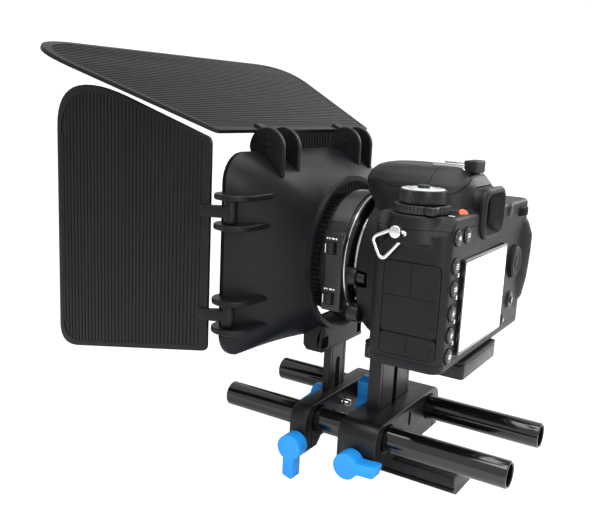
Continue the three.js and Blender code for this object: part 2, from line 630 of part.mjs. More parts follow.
function dialGeometry() {
  const { x, y, low, top, r } = DIAL;
  const count = 16;
  const notches = Array.from({ length: count }, (_, i) => {
    const angle = (i / count) * 2 * Math.PI;
    const reach = r + 0.15;
    return bar('z', 0.5, low - 1, top + 1, x + reach * Math.cos(angle), y + reach * Math.sin(angle), 6);
  });
  return cut(bar('z', r, low, top, x, y, 32), ...notches);
}

function driveRing() {
  const { x, y, low, ringR, ringLow } = DIAL;
  const tab = box(x + 5, x + 13.5, y + 6, y + 12.4, ringLow, low - GAP);
  return join(bar('z', ringR, ringLow, low - GAP, x, y, 40), tab);
}

function powerRing() {
  const { x, y, top } = SHUTTER;
  const ring = tube('z', SHUTTER.wellR - 0.2, SHUTTER.r + GAP, top - 3.4, top + 1.6, x, y, 32);
  const lever = box(x + 7, x + 12.5, y - 2.4, y + 1.2, top + 0.4, top + 1.6);
  return join(ring, lever);
}

function shutterButton() {
  const { x, y, r, top } = SHUTTER;
  return bar('z', r, top - 6, top + 2.6, x, y, 24);
}

function rearDial() {
  const { x, y, r, low, high } = REAR_DIAL;
  return bar('z', r, low, high, x, y, 28);
}

function frontDial() {
  const { x, y, z, r, half } = FRONT_DIAL;
  return bar('x', r, x - half, x + half, y, z, 28);
}

function multiSelector() {
  return bar('y', SELECTOR.r, BODY.back - 1.5, BODY.back + 3, SELECTOR.x, SELECTOR.z, 28);
}

function rearButton(x, z) {
  return bar('y', BUTTON.r, BODY.back - 3, BODY.back + BUTTON.out, x, z, 16);
}

function mountRing() {
  const { r, bore, front, rear } = MOUNT_FLANGE;
  return tube('y', r, bore, front, rear, 0, LENS.z, 36);
}

function mirrorBox() {
  const z = LENS.z;
  const outside = box(-25, 25, -40.5, 0.6, z - 21, z + 21);
  return cut(outside, box(-20, 20, -42, 2, z - 17, z + 17), box(-17, 17, -34, -6, z + 10, z + 25));
}

// The reflex mirror hangs at 45 degrees from its rear top edge.
function reflexMirror() {
  const { hingeY, hingeZ, length, half } = MIRROR;
  const drop = length / Math.SQRT2;
  const step = 1.2;
  const top = LENS.z + hingeZ;
  const front = [[hingeY, top], [hingeY - drop, top - drop]];
  const back = front.map(([y, z]) => [y + step, z - step]).reverse();
  return slab('x', [...front, ...back], -half, half);
}

function pentaprism() {
  const sides = 16;
  return loft([
    humpRing(119.4, 15, -30, -8, sides), humpRing(131, 18, -33, -3, sides), humpRing(140.5, 9, -27, -9, sides),
  ]);
}

function portCover(low, high) {
  const { front, rear } = PORTS;
  return slab('x', roundedRectangle(front, rear, low, high, 2.5), BODY.left - 1.6, BODY.left + 0.4, 3);
}

function lensRelease() {
  const { r, x, z } = RELEASE;
  return join(bar('y', r, -43.4, -37, x, z, 24), bar('y', r - 1.8, -38, -32, x, z, 16));
}

function batteryDoor() {
  const { x0, x1, y0, y1 } = BATTERY;
  return box(x0 - 1.1, x1 + 1.1, y0 - 1.1, y1 + 1.1, BODY.bottom, BODY.bottom + 2);
}

// ---------- the assembly ----------
const POLYMER = [0x17181a, 0.55, 0];
const RUBBER = [0x121314, 0.9, 0];
const ANODISED = [0x101113, 0.35, 0.6];
const BLUE = [0x1478d6, 0.45, 0];
const STEEL = [0xc8c9cc, 0.28, 1];
const GLASS = [0x1b2230, 0.08, 0];
const rig = new THREE.Group();

function place(name, shape, [color, roughness, metalness], position = [0, 0, 0]) {
  const geometry = shape.isBufferGeometry ? shape : geometryOf(shape);
  const mesh = new THREE.Mesh(geometry, new THREE.MeshStandardMaterial({ color, roughness, metalness }));
  mesh.name = name;
  mesh.position.set(...position);
  rig.add(mesh);
  return mesh;
}

place('rod_left', rod(ROD.x), ANODISED);
place('rod_right', rod(-ROD.x), ANODISED);
place('rear_block', rearBlock(), ANODISED);
place('front_block', frontBlock(), ANODISED);
place('tripod_plate', tray(), ANODISED);
place('rear_riser', slottedRiser(REAR_RISER, REAR_SLOT), ANODISED);
place('front_riser', slottedRiser(FRONT_RISER, FRONT_SLOT), ANODISED);
place('camera_plate', cameraPlate(), ANODISED);
place('plate_pad', platePad(), RUBBER);
place('camera_screw', cameraScrew(), STEEL);

// Each knob's head points out of its block, and its paddle lies along a direction square to that.
for (const [name, out, paddle, position, screw] of [
  ['clamp_knob_front_left', [1, 0, 0], [0, 0, -1], [KNOB.headX, SIDE_KNOB_Y.front, KNOB.z], 20],
  ['clamp_knob_front_right', [-1, 0, 0], [0, 0, -1], [-KNOB.headX, SIDE_KNOB_Y.front, KNOB.z], 20],
  ['clamp_knob_rear_left', [1, 0, 0], [0, 1, KNOB.lean], [KNOB.headX, SIDE_KNOB_Y.rear, KNOB.z], 20],
  ['clamp_knob_rear_right', [-1, 0, 0], [0, 1, KNOB.lean], [-KNOB.headX, SIDE_KNOB_Y.rear, KNOB.z], 20],
  ['riser_knob_front', [0, -1, 0], [1, 0, -KNOB.lean], [0, FRONT_BLOCK.front - 0.6, RISER_KNOB_Z.front], 16.4],
  ['riser_knob_rear', [0, -1, 0], [KNOB.lean, 0, 1], [0, REAR_BLOCK.front - 0.6, RISER_KNOB_Z.rear], 17],
]) {
  const knob = place(name, thumbKnob(screw), BLUE);
  const outward = new THREE.Vector3(...out);
  const along = new THREE.Vector3(...paddle).normalize();
  knob.applyMatrix4(new THREE.Matrix4().makeBasis(outward, along, outward.clone().cross(along)));
  knob.position.set(...position);
}

place('matte_box', matteBox(), POLYMER);
const flags = { top_flag: topFlag(), side_flag_left: sideFlag(1), side_flag_right: sideFlag(-1) };
for (const [name, made] of Object.entries(flags)) {
  const mesh = place(name, made.geometry, POLYMER);
  const across = new THREE.Vector3().crossVectors(made.along, made.out);
  mesh.applyMatrix4(new THREE.Matrix4().makeBasis(made.along, made.out, across));
  mesh.position.set(...made.pivot);
}

place('lens_barrel', lensBarrel(), POLYMER);
place('lens_tube', lensTube(), POLYMER);
place('zoom_ring', lensPiece(36, 32.3, -76.4, -64.4), RUBBER);
place('focus_ring', lensPiece(35.4, 32.3, -90, -77), RUBBER);
place('front_glass', glass(-86, 26.7, 2.6), GLASS);
place('focus_switch', slideSwitch(LENS_SWITCH.high), POLYMER);
place('stabiliser_switch', slideSwitch(LENS_SWITCH.low), POLYMER);

const shells = bodyShells();
place('front_shell', mainPiece(shells.front), POLYMER);
place('rear_cover', mainPiece(shells.rear), POLYMER);
place('top_cover', mainPiece(shells.top), POLYMER);
place('base_cover', mainPiece(shells.base), POLYMER);
place('popup_flash', flashHead(), POLYMER);
place('mount_ring', mountRing(), STEEL);
place('mirror_box', mirrorBox(), POLYMER);
place('reflex_mirror', reflexMirror(), STEEL);
place('image_sensor', box(-14, 14, 1.3, 4, LENS.z - 10, LENS.z + 10), GLASS);
place('pentaprism', pentaprism(), GLASS);
place('battery', box(BATTERY.x0, BATTERY.x1, BATTERY.y0, BATTERY.y1, BODY.bottom + 2.4, BATTERY.top), RUBBER);
place('battery_door', batteryDoor(), POLYMER);
place('display_window', box(LCD.right, LCD.left, BODY.back - 0.9, LCD.rear, LCD.low, LCD.high), GLASS);
place('eyecup', eyecup(), RUBBER);
place('mode_dial', dialGeometry(), POLYMER);
place('drive_ring', driveRing(), POLYMER);
place('shutter_button', shutterButton(), POLYMER);
place('power_ring', powerRing(), POLYMER);
place('rear_dial', rearDial(), RUBBER);
place('front_dial', frontDial(), RUBBER);
place('multi_selector', multiSelector(), RUBBER);
const menuNames = MENU_BUTTON_Z.map((z, i) => `menu_button_${i + 1}`);
const buttonNames = [...menuNames, 'playback_button', 'delete_button'];
buttonNames.forEach((name, i) => place(name, rearButton(...REAR_BUTTONS[i]), POLYMER));
place('lens_release', lensRelease(), POLYMER);
place('strap_ring_left', wireLoop(RING_CORNERS, RING_WIRE), STEEL, [BODY.left + LUG.out, LUG.y, LUG.z]);
place('strap_ring_right', wireLoop(RING_CORNERS, RING_WIRE), STEEL, [BODY.right - LUG.out, LUG.y, LUG.z]);
place('port_cover_upper', portCover(PORTS.split + GAP / 2, PORTS.high), RUBBER);
place('port_cover_lower', portCover(PORTS.low, PORTS.split - GAP / 2), RUBBER);

// Stand the object's box on z = 0, centred on the origin.
const reach = new THREE.Box3().setFromObject(rig, true);
rig.position.set(-(reach.min.x + reach.max.x) / 2, -(reach.min.y + reach.max.y) / 2, -reach.min.z);

const object = new THREE.Group();
object.add(rig);

export default object;
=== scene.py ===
import math

import bmesh
import bpy
from mathutils import Matrix, Vector


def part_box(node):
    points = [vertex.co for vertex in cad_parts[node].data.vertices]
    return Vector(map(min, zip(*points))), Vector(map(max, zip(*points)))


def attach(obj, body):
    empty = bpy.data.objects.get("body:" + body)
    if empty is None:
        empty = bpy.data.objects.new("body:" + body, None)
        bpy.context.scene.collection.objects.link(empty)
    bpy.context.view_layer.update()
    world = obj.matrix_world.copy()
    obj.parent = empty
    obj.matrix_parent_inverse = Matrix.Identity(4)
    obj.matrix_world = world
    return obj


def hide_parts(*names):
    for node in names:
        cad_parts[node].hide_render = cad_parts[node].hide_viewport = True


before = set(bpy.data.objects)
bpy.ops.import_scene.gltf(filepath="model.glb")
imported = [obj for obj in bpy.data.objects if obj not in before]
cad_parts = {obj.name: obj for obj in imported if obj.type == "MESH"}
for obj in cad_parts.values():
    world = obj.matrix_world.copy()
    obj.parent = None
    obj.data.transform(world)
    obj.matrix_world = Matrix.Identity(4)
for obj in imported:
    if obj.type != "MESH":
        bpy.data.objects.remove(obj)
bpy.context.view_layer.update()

# ---------- the rig's own millimetres ----------
# X = 0 is the lens plane, Z = 0 the rods' axes, and Y = ROD_REAR the rods' rear ends. The lens looks to -Y.
MM = 0.001
ROD_REAR = 53.2
_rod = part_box("rod_left")
ORIGIN = Vector((0, _rod[1].y - ROD_REAR * MM, (_rod[0].z + _rod[1].z) / 2))
TO_FRAME = Matrix.Translation(ORIGIN) @ Matrix.Scale(MM, 4)
TO_RIG = TO_FRAME.inverted()


def span(node):
    """A CAD node's (low, high) corners in the rig's millimetres."""
    return [TO_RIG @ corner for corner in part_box(node)]


# ---------- camera ----------
CAMERA_AT = (400.39, 147.56, 185.5)
CAMERA_AZIMUTH = math.radians(122.127)
CAMERA_ELEVATION = math.radians(11.261)
CAMERA_ROLL = math.radians(2.658)
FOCAL_MM = 45.75


def add_camera():
    data = bpy.data.cameras.new("view")
    data.lens = FOCAL_MM
    data.clip_start = 0.01
    camera = bpy.data.objects.new("view", data)
    bpy.context.scene.collection.objects.link(camera)
    flat = math.cos(CAMERA_ELEVATION)
    back = Vector((math.sin(CAMERA_AZIMUTH) * flat, -math.cos(CAMERA_AZIMUTH) * flat,
                   math.sin(CAMERA_ELEVATION)))
    right = Vector((0, 0, 1)).cross(back).normalized()
    up = back.cross(right)
    turned_right = right * math.cos(CAMERA_ROLL) + up * math.sin(CAMERA_ROLL)
    turned_up = up * math.cos(CAMERA_ROLL) - right * math.sin(CAMERA_ROLL)
    turn = Matrix((turned_right, turned_up, back)).transposed().to_4x4()
    camera.matrix_world = Matrix.Translation(TO_FRAME @ Vector(CAMERA_AT)) @ turn
    bpy.context.scene.camera = camera


# ---------- materials ----------
def node(tree, kind, **values):
    made = tree.nodes.new(kind)
    for key, value in values.items():
        if key in made.inputs:
            made.inputs[key].default_value = value
        else:
            setattr(made, key, value)
    return made


def shade(color, factor):
    return (*(min(1.0, c * factor) for c in color[:3]), 1.0)


def surface(name, color, rough, metallic=0.0, grain=(1800.0, 0.25), cells=None, tone=0.18, coat=0.0, wear=0.0,
            brush=None, rough_spread=0.08, gleam=0.5):
    """A procedural finish: cloudy colour, uneven gloss, a moulded or sprayed grain, and paler worn edges."""
    made = bpy.data.materials.new(name)
    made.use_nodes = True
    tree = made.node_tree
    link = tree.links.new
    shader = tree.nodes["Principled BSDF"]
    shader.inputs["Metallic"].default_value = metallic
    shader.inputs["Specular IOR Level"].default_value = gleam
    shader.inputs["Coat Weight"].default_value = coat
    shader.inputs["Coat Roughness"].default_value = 0.08
    place = node(tree, "ShaderNodeTexCoord").outputs["Object"]
    cloud = node(tree, "ShaderNodeTexNoise", Scale=60.0, Detail=5.0)
    link(place, cloud.inputs["Vector"])
    ramp = node(tree, "ShaderNodeValToRGB")
    ramp.color_ramp.elements[0].position = 0.3
    ramp.color_ramp.elements[0].color = shade(color, 1 - tone)
    ramp.color_ramp.elements[1].position = 0.72
    ramp.color_ramp.elements[1].color = shade(color, 1 + tone)
    link(cloud.outputs["Fac"], ramp.inputs["Fac"])
    tint = ramp.outputs["Color"]
    if wear:
        edge = node(tree, "ShaderNodeValToRGB")
        edge.color_ramp.elements[0].position = 0.56
        edge.color_ramp.elements[1].position = 0.66
        link(node(tree, "ShaderNodeNewGeometry").outputs["Pointiness"], edge.inputs["Fac"])
        scuff = node(tree, "ShaderNodeTexNoise", Scale=420.0, Detail=4.0)
        link(place, scuff.inputs["Vector"])
        amount = node(tree, "ShaderNodeMath", operation="MULTIPLY")
        link(edge.outputs["Color"], amount.inputs[0])
        link(scuff.outputs["Fac"], amount.inputs[1])
        mix = node(tree, "ShaderNodeMix", data_type="RGBA")
        mix.inputs[7].default_value = shade(color, 1 + wear)
        link(amount.outputs[0], mix.inputs[0])
        link(tint, mix.inputs[6])
        tint = mix.outputs[2]
    link(tint, shader.inputs["Base Color"])
    spread = node(tree, "ShaderNodeMapRange")
    spread.inputs["To Min"].default_value = max(0.02, rough - rough_spread)
    spread.inputs["To Max"].default_value = min(1.0, rough + rough_spread)
    patches = node(tree, "ShaderNodeTexNoise", Scale=240.0, Detail=3.0)
    link(place, patches.inputs["Vector"])
    link(patches.outputs["Fac"], spread.inputs["Value"])
    link(spread.outputs["Result"], shader.inputs["Roughness"])
    if brush:
        squeeze = node(tree, "ShaderNodeMapping")
        squeeze.inputs["Scale"].default_value = brush
        link(place, squeeze.inputs["Vector"])
        place = squeeze.outputs["Vector"]
    if cells:
        height = node(tree, "ShaderNodeTexVoronoi", Scale=cells, feature="SMOOTH_F1")
        out = height.outputs["Distance"]
    else:
        height = node(tree, "ShaderNodeTexNoise", Scale=grain[0], Detail=2.0)
        out = height.outputs["Fac"]
    link(place, height.inputs["Vector"])
    bump = node(tree, "ShaderNodeBump", Strength=grain[1], Distance=0.0002)
    link(out, bump.inputs["Height"])
    link(bump.outputs["Normal"], shader.inputs["Normal"])
    return made


def glass(name, color, rough):
    made = surface(name, color, rough, grain=(60.0, 0.01), tone=0.05, coat=1.0, rough_spread=0.01)
    made.node_tree.nodes["Principled BSDF"].inputs["Coat Roughness"].default_value = 0.02
    return made


def lit(name, color, strength):
    made = surface(name, color, 0.12, grain=(900.0, 0.01), tone=0.02, coat=0.5)
    shader = made.node_tree.nodes["Principled BSDF"]
    shader.inputs["Emission Color"].default_value = (*color, 1.0)
    shader.inputs["Emission Strength"].default_value = strength
    return made


HOOD = surface("hood_polymer", (0.0055, 0.0055, 0.007), 0.38, grain=(2600.0, 0.16), wear=0.8, gleam=0.2)
FLAG = surface("flag_polymer", (0.0055, 0.0055, 0.0072), 0.38, grain=(2400.0, 0.2), wear=0.8, gleam=0.24)
ANODISED = surface("anodised_black", (0.009, 0.009, 0.0098), 0.34, metallic=0.3, grain=(3200.0, 0.22),
                   wear=3.0, gleam=0.4)
ROD = surface("rod_gloss", (0.005, 0.005, 0.0055), 0.11, metallic=0.2, grain=(300.0, 0.04), coat=0.6,
              brush=(1.0, 0.05, 1.0), rough_spread=0.04)
BLUE = surface("blue_polymer", (0.014, 0.29, 0.8), 0.4, grain=(1500.0, 0.12), tone=0.08, wear=0.5, gleam=0.4)
BODY = surface("camera_polymer", (0.0062, 0.0062, 0.008), 0.42, grain=(1.0, 0.32), cells=3600.0, wear=0.6,
               gleam=0.24)
LEATHER = surface("grip_rubber", (0.0055, 0.0055, 0.0068), 0.52, grain=(1.0, 0.8), cells=1500.0, wear=0.5,
                  gleam=0.28)
RUBBER = surface("rubber", (0.006, 0.006, 0.0075), 0.5, grain=(2200.0, 0.3), wear=0.4, gleam=0.24)
LENS_BLACK = surface("lens_polymer", (0.0055, 0.0055, 0.006), 0.3, grain=(2600.0, 0.08), coat=0.12, wear=0.5,
                     gleam=0.42)
BUTTON = surface("button_polymer", (0.006, 0.006, 0.0066), 0.36, grain=(1600.0, 0.06), coat=0.1, wear=0.6,
                 gleam=0.4)
STEEL = surface("steel", (0.78, 0.78, 0.78), 0.16, metallic=1.0, grain=(900.0, 0.1), tone=0.08)
BRASS = surface("brass", (0.62, 0.42, 0.2), 0.32, metallic=1.0, grain=(1500.0, 0.15))
SILVER = surface("dial_silver", (0.6, 0.61, 0.61), 0.36, metallic=0.2, grain=(3000.0, 0.15))
WHITE = surface("white_mark", (0.86, 0.86, 0.86), 0.5, grain=(2600.0, 0.1), tone=0.05)
GREEN = surface("green_mark", (0.05, 0.42, 0.1), 0.45, grain=(2600.0, 0.1), tone=0.1)
RED = surface("red_mark", (0.9, 0.09, 0.015), 0.4, grain=(2600.0, 0.1), tone=0.1)
DULL = surface("inner_black", (0.006, 0.006, 0.006), 0.85, grain=(2000.0, 0.2))
PRISM = glass("optical_glass", (0.03, 0.04, 0.07), 0.03)
SCREEN = lit("display_white", (0.97, 0.975, 0.985), 1.25)
BEZEL = glass("bezel_glass", (0.006, 0.006, 0.007), 0.06)


# ---------- mesh tools (rig millimetres) ----------
def ring_points(axis, outline, at):
    order = {"x": lambda u, v: (at, u, v), "y": lambda u, v: (u, at, v), "z": lambda u, v: (u, v, at)}[axis]
    return [Vector(order(u, v)) for u, v in outline]


def area_of(outline):
    pairs = zip(outline, outline[1:] + outline[:1])
    return sum(a[0] * b[1] - b[0] * a[1] for a, b in pairs) / 2


def inset(outline, by):
    """The outline moved inwards by a distance, corner by corner. It runs anticlockwise."""
    count = len(outline)
    moved = []
    for i in range(count):
        before, here, after = (Vector(outline[j % count]) for j in (i - 1, i, i + 1))
        a = (here - before).normalized()
        b = (after - here).normalized()
        na, nb = Vector((-a.y, a.x)), Vector((-b.y, b.x))
        bisector = na + nb
        reach = by / max(0.35, (1 + na.dot(nb)) / 2) ** 0.5
        moved.append(tuple(here + bisector.normalized() * reach))
    return moved


def rounded(u0, u1, v0, v1, r, steps=6):
    points = []
    for cu, cv, start in ((u1 - r, v0 + r, -90), (u1 - r, v1 - r, 0), (u0 + r, v1 - r, 90),
                          (u0 + r, v0 + r, 180)):
        for i in range(steps + 1):
            a = math.radians(start + 90 * i / steps)
            points.append((cu + r * math.cos(a), cv + r * math.sin(a)))
    return points


def circle(u, v, r, sides=48):
    return [(u + r * math.cos(2 * math.pi * i / sides), v + r * math.sin(2 * math.pi * i / sides))
            for i in range(sides)]


def softened(outline, r, steps=4):
    """The same outline with each corner rounded to about radius r."""
    count = len(outline)
    points = []
    for i in range(count):
        before, here, after = (Vector(outline[j % count]) for j in (i - 1, i, i + 1))
        a, b = before - here, after - here
        cut = min(r, a.length * 0.45, b.length * 0.45)
        start, end = here + a.normalized() * cut, here + b.normalized() * cut
        for k in range(steps + 1):
            t = k / steps
            points.append(tuple(start * (1 - t) ** 2 + here * 2 * t * (1 - t) + end * t * t))
    return points


def skin(bm, rings, closed=False):
    """Joins rings of equal counts into a tube, capped at both ends unless closed on itself."""
    rows = [[bm.verts.new(p) for p in ring] for ring in rings]
    count = len(rows[0])
    pairs = list(zip(rows, rows[1:] + rows[:1])) if closed else list(zip(rows, rows[1:]))
    for low, high in pairs:
        for i in range(count):
            j = (i + 1) % count
            bm.faces.new((low[i], low[j], high[j], high[i]))
    if not closed:
        bm.faces.new(list(reversed(rows[0])))
        bm.faces.new(rows[-1])
    bmesh.ops.recalc_face_normals(bm, faces=bm.faces)
    return bm


def prism(axis, outline, low, high, soft=0.4, steps=3):
    """An outline pushed along an axis, with its two end edges rounded."""
    if area_of(outline) < 0:
        outline = list(reversed(outline))
    soft = min(soft, (high - low) / 2.1)
    rings = []
    for k in range(steps + 1):
        a = math.pi / 2 * k / steps
        rings.append(ring_points(axis, inset(outline, soft * (1 - math.sin(a))),
                                 low + soft * (1 - math.cos(a))))
    for k in range(steps + 1):
        a = math.pi / 2 * (1 - k / steps)
        rings.append(ring_points(axis, inset(outline, soft * (1 - math.sin(a))),
                                 high - soft * (1 - math.cos(a))))
    if soft <= 0:
        rings = [ring_points(axis, outline, low), ring_points(axis, outline, high)]
    return skin(bmesh.new(), rings)


def block(x0, x1, y0, y1, z0, z1, soft=0.4, corner=None):
    return prism("z", rounded(x0, x1, y0, y1, corner or soft + 0.05, 3), z0, z1, soft)


def lathe(axis, centre, profile, sides=96):
    """A profile of (radius, place along the axis) turned round it. It ends on the axis, or closes."""
    bm = bmesh.new()
    rows = []
    for radius, at in profile:
        rows.append([bm.verts.new(p)
                     for p in ring_points(axis, circle(*centre, max(radius, 0.001), sides), at)])
    closed = profile[0][0] > 0.01
    pairs = list(zip(rows, rows[1:] + rows[:1])) if closed else list(zip(rows, rows[1:]))
    for low, high in pairs:
        for i in range(sides):
            j = (i + 1) % sides
            bm.faces.new((low[i], low[j], high[j], high[i]))
    if not closed:
        for row in (rows[0], rows[-1]):
            bmesh.ops.pointmerge(bm, verts=row, merge_co=sum((v.co for v in row), Vector()) / sides)
    bmesh.ops.recalc_face_normals(bm, faces=bm.faces)
    return bm


def disc(axis, centre, r, low, high, soft=0.3, sides=48):
    """A solid round bar with rounded end edges."""
    profile = [(0, low)]
    profile += [(r - soft * (1 - math.sin(a)), low + soft * (1 - math.cos(a))) for a in quarter(3)]
    profile += [(r - soft * (1 - math.sin(a)), high - soft * (1 - math.cos(a))) for a in reversed(quarter(3))]
    profile += [(0, high)]
    return lathe(axis, centre, profile, sides)


def quarter(steps):
    return [math.pi / 2 * k / steps for k in range(steps + 1)]


def pipe(axis, centre, outer, inner, low, high, soft=0.3, sides=96):
    """A tube with rounded end edges."""
    profile = [(inner, low + soft), (inner + soft, low), (outer - soft, low), (outer, low + soft)]
    profile += [(outer, high - soft), (outer - soft, high), (inner + soft, high), (inner, high - soft)]
    return lathe(axis, centre, profile, sides)


def wire(points, r, closed=True, sides=12):
    """A round wire along points."""
    bm = bmesh.new()
    rings = []
    count = len(points)
    for i, p in enumerate(points):
        after = points[(i + 1) % count] if closed else points[min(i + 1, count - 1)]
        before = points[i - 1] if closed or i else points[0]
        along = (Vector(after) - Vector(before)).normalized()
        side = Vector((1, 0, 0)) if abs(along.x) < 0.9 else Vector((0, 0, 1))
        u = along.cross(side).normalized()
        v = along.cross(u)
        rings.append([Vector(p) + (u * math.cos(a) + v * math.sin(a)) * r
                      for a in (2 * math.pi * k / sides for k in range(sides))])
    return skin(bm, rings, closed)


def turned(bm, matrix):
    bmesh.ops.transform(bm, matrix=matrix, verts=bm.verts)
    if matrix.determinant() < 0:
        bmesh.ops.reverse_faces(bm, faces=bm.faces)
    return bm


def together(*parts):
    """Several closed solids in one mesh."""
    whole = bmesh.new()
    for part in parts:
        mesh = bpy.data.meshes.new("part")
        part.to_mesh(mesh)
        part.free()
        whole.from_mesh(mesh)
        bpy.data.meshes.remove(mesh)
    return whole


def raw_object(name, bm):
    mesh = bpy.data.meshes.new(name)
    bm.to_mesh(mesh)
    bm.free()
    made = bpy.data.objects.new(name, mesh)
    bpy.context.scene.collection.objects.link(made)
    return made


def applied(obj):
    """The object's mesh with its modifiers worked in, as a bmesh; the object goes."""
    bpy.context.view_layer.update()
    graph = bpy.context.evaluated_depsgraph_get()
    bm = bmesh.new()
    bm.from_object(obj, graph)
    mesh = obj.data
    bpy.data.objects.remove(obj)
    bpy.data.meshes.remove(mesh)
    return bm


def boolean(base, tool, operation):
    """base with tool joined to it, taken from it or kept in common."""
    a, b = raw_object("base", base), raw_object("tool", tool)
    modifier = a.modifiers.new("cut", "BOOLEAN")
    modifier.solver = "MANIFOLD"
    modifier.operation = operation
    modifier.object = b
    made = applied(a)
    mesh = b.data
    bpy.data.objects.remove(b)
    bpy.data.meshes.remove(mesh)
    return made


def union(first, *others):
    for other in others:
        first = boolean(first, other, "UNION")
    return first


def cut(first, *tools):
    for tool in tools:
        first = boolean(first, tool, "DIFFERENCE")
    return first


def melted(bm, voxel, rounds):
    """Overlapping solids fused into one skin, with every edge and valley rounded by smoothing."""
    obj = raw_object("melt", bm)
    remesh = obj.modifiers.new("remesh", "REMESH")
    remesh.mode = "VOXEL"
    remesh.voxel_size = voxel
    smooth = obj.modifiers.new("smooth", "SMOOTH")
    smooth.factor = 0.5
    smooth.iterations = rounds
    return applied(obj)


def piece(name, bm, material, body, replaces=(), smooth=32.0, bevel=0.0):
    """Puts a rig-millimetre mesh into the scene as one piece of the object."""
    turned(bm, TO_FRAME)
    made = raw_object(name, bm)
    for finish in material if isinstance(material, list) else [material]:
        made.data.materials.append(finish)
    made.data.shade_smooth()
    made.data.set_sharp_from_angle(angle=math.radians(smooth))
    if bevel:
        soften(made, bevel)
    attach(made, body)
    if replaces:
        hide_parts(*replaces)
    return made


def soften(obj, width, segments=3, angle=30.0):
    bevel = obj.modifiers.new("bevel", "BEVEL")
    bevel.width = width * MM
    bevel.segments = segments
    bevel.limit_method = "ANGLE"
    bevel.angle_limit = math.radians(angle)
    bevel.harden_normals = True
    bevel.use_clamp_overlap = True


def carried(name, material, bevel=0.35):
    """A CAD node that is shown as it is, with a finish and softened edges."""
    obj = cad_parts[name]
    obj.data.materials.clear()
    obj.data.materials.append(material)
    obj.data.shade_smooth()
    obj.data.set_sharp_from_angle(angle=math.radians(30))
    if bevel:
        soften(obj, bevel)
    return obj


# ---------- rods, blocks and risers ----------
LENS_Z = 96.8


def rods():
    for name in ("rod_left", "rod_right"):
        low, high = span(name)
        x = (low.x + high.x) / 2
        tube = pipe("y", (x, 0), 7.5, 6.2, low.y, high.y, 0.5, 128)
        piece(f"{name}_tube", tube, ROD, "rods", [name])


def block_outline(low, high):
    """Flat sides and floor, and a large round along each top edge."""
    half, corner = high.x, 9.0
    points = [(-half + 0.8, low.z), (half - 0.8, low.z), (half, low.z + 0.8)]
    points += [(half - corner + corner * math.cos(a), high.z - corner + corner * math.sin(a))
               for a in quarter(12)]
    points += [(corner - half - corner * math.sin(a), high.z - corner + corner * math.cos(a))
               for a in quarter(12)]
    return [*points, (-half, low.z + 0.8)]


def clamp_block(name, knob_y):
    low, high = span(name)
    solid = prism("y", block_outline(low, high), low.y, high.y, 0.6)
    tools = []
    for side in (-1, 1):
        bore = [(0, low.y - 2), (8.6, low.y - 2), (8.6, low.y), (7.8, low.y + 0.8), (7.8, high.y - 0.8)]
        bore += [(8.6, high.y), (8.6, high.y + 2), (0, high.y + 2)]
        tools.append(lathe("y", (side * 30, 0), bore, 96))
        slit = sorted((side * 37.5, side * 38.9))
        tools.append(block(*slit, low.y - 1, high.y + 1, low.z - 1, -1, 0.05))
        hole = sorted((side * 22, side * 47))
        tools.append(disc("x", (knob_y, -11), 2.5, *hole, 0.1, 24))
    return cut(solid, *tools)


def blocks():
    low, high = span("rear_block")
    riser_low, riser_high = span("rear_riser")
    gap = 0.3
    shaft = block(riser_low.x - gap, riser_high.x + gap, riser_low.y - gap, riser_high.y + gap, -20, 12, 0.1)
    screw = disc("y", (0, 2), 2.5, low.y - 1, riser_low.y + 1, 0.1, 24)
    keyhole = prism("y", rounded(-1.7, 1.7, -2.5, 6.5, 1.6), high.y - 7, high.y + 1, 0)
    rear = cut(clamp_block("rear_block", -30.5), shaft, screw, keyhole)
    piece("rear_block_body", rear, ANODISED, "rear_clamp", ["rear_block"], bevel=0.25)

    low, high = span("front_block")
    riser_low, riser_high = span("front_riser")
    channel = block(riser_low.x - gap, riser_high.x + gap, low.y - 1, riser_high.y + gap, -20, 12, 0.1)
    belly = prism("y", [(-33, -18), (33, -18), (27, -12), (-27, -12)], low.y - 1, high.y + 1, 0)
    screw = disc("y", (0, 1), 2.5, low.y - 1, high.y + 1, 0.1, 24)
    front = cut(clamp_block("front_block", -68), channel, belly, screw)
    piece("front_block_body", front, ANODISED, "front_clamp", ["front_block"], bevel=0.25)
    slot = block(-2.4, 2.4, high.y + 1.4, high.y + 3, 0.6, 1.4, 0.05)
    tip = cut(disc("y", (0, 1), 2.2, high.y + 0.3, high.y + 2.2, 0.3, 32), slot)
    piece("riser_screw_tip", tip, BRASS, "front_clamp")


def slotted(name, slot_low, slot_high, half_slot):
    low, high = span(name)
    bar = prism("y", rounded(low.x, high.x, low.z, high.z, 0.9), low.y, high.y, 0.5)
    way = prism("y", rounded(-half_slot, half_slot, slot_low, slot_high, half_slot - 0.1), low.y - 1,
                high.y + 1, 0)
    groove = []
    for side in (-1, 1):
        x = side * (high.x - 3.2)
        groove.append(prism("y", rounded(x - 0.35, x + 0.35, low.z - 2, high.z + 2, 0.1), high.y - 0.4,
                            high.y + 1, 0))
    return cut(bar, way, *groove)


def risers():
    rear = slotted("rear_riser", -5, 38, 2.5)
    piece("rear_riser_bar", rear, ANODISED, "camera", ["rear_riser"], bevel=0.2)
    front = slotted("front_riser", -6, 29.7, 2.4)
    piece("front_riser_bar", front, ANODISED, "hood", ["front_riser"], bevel=0.2)


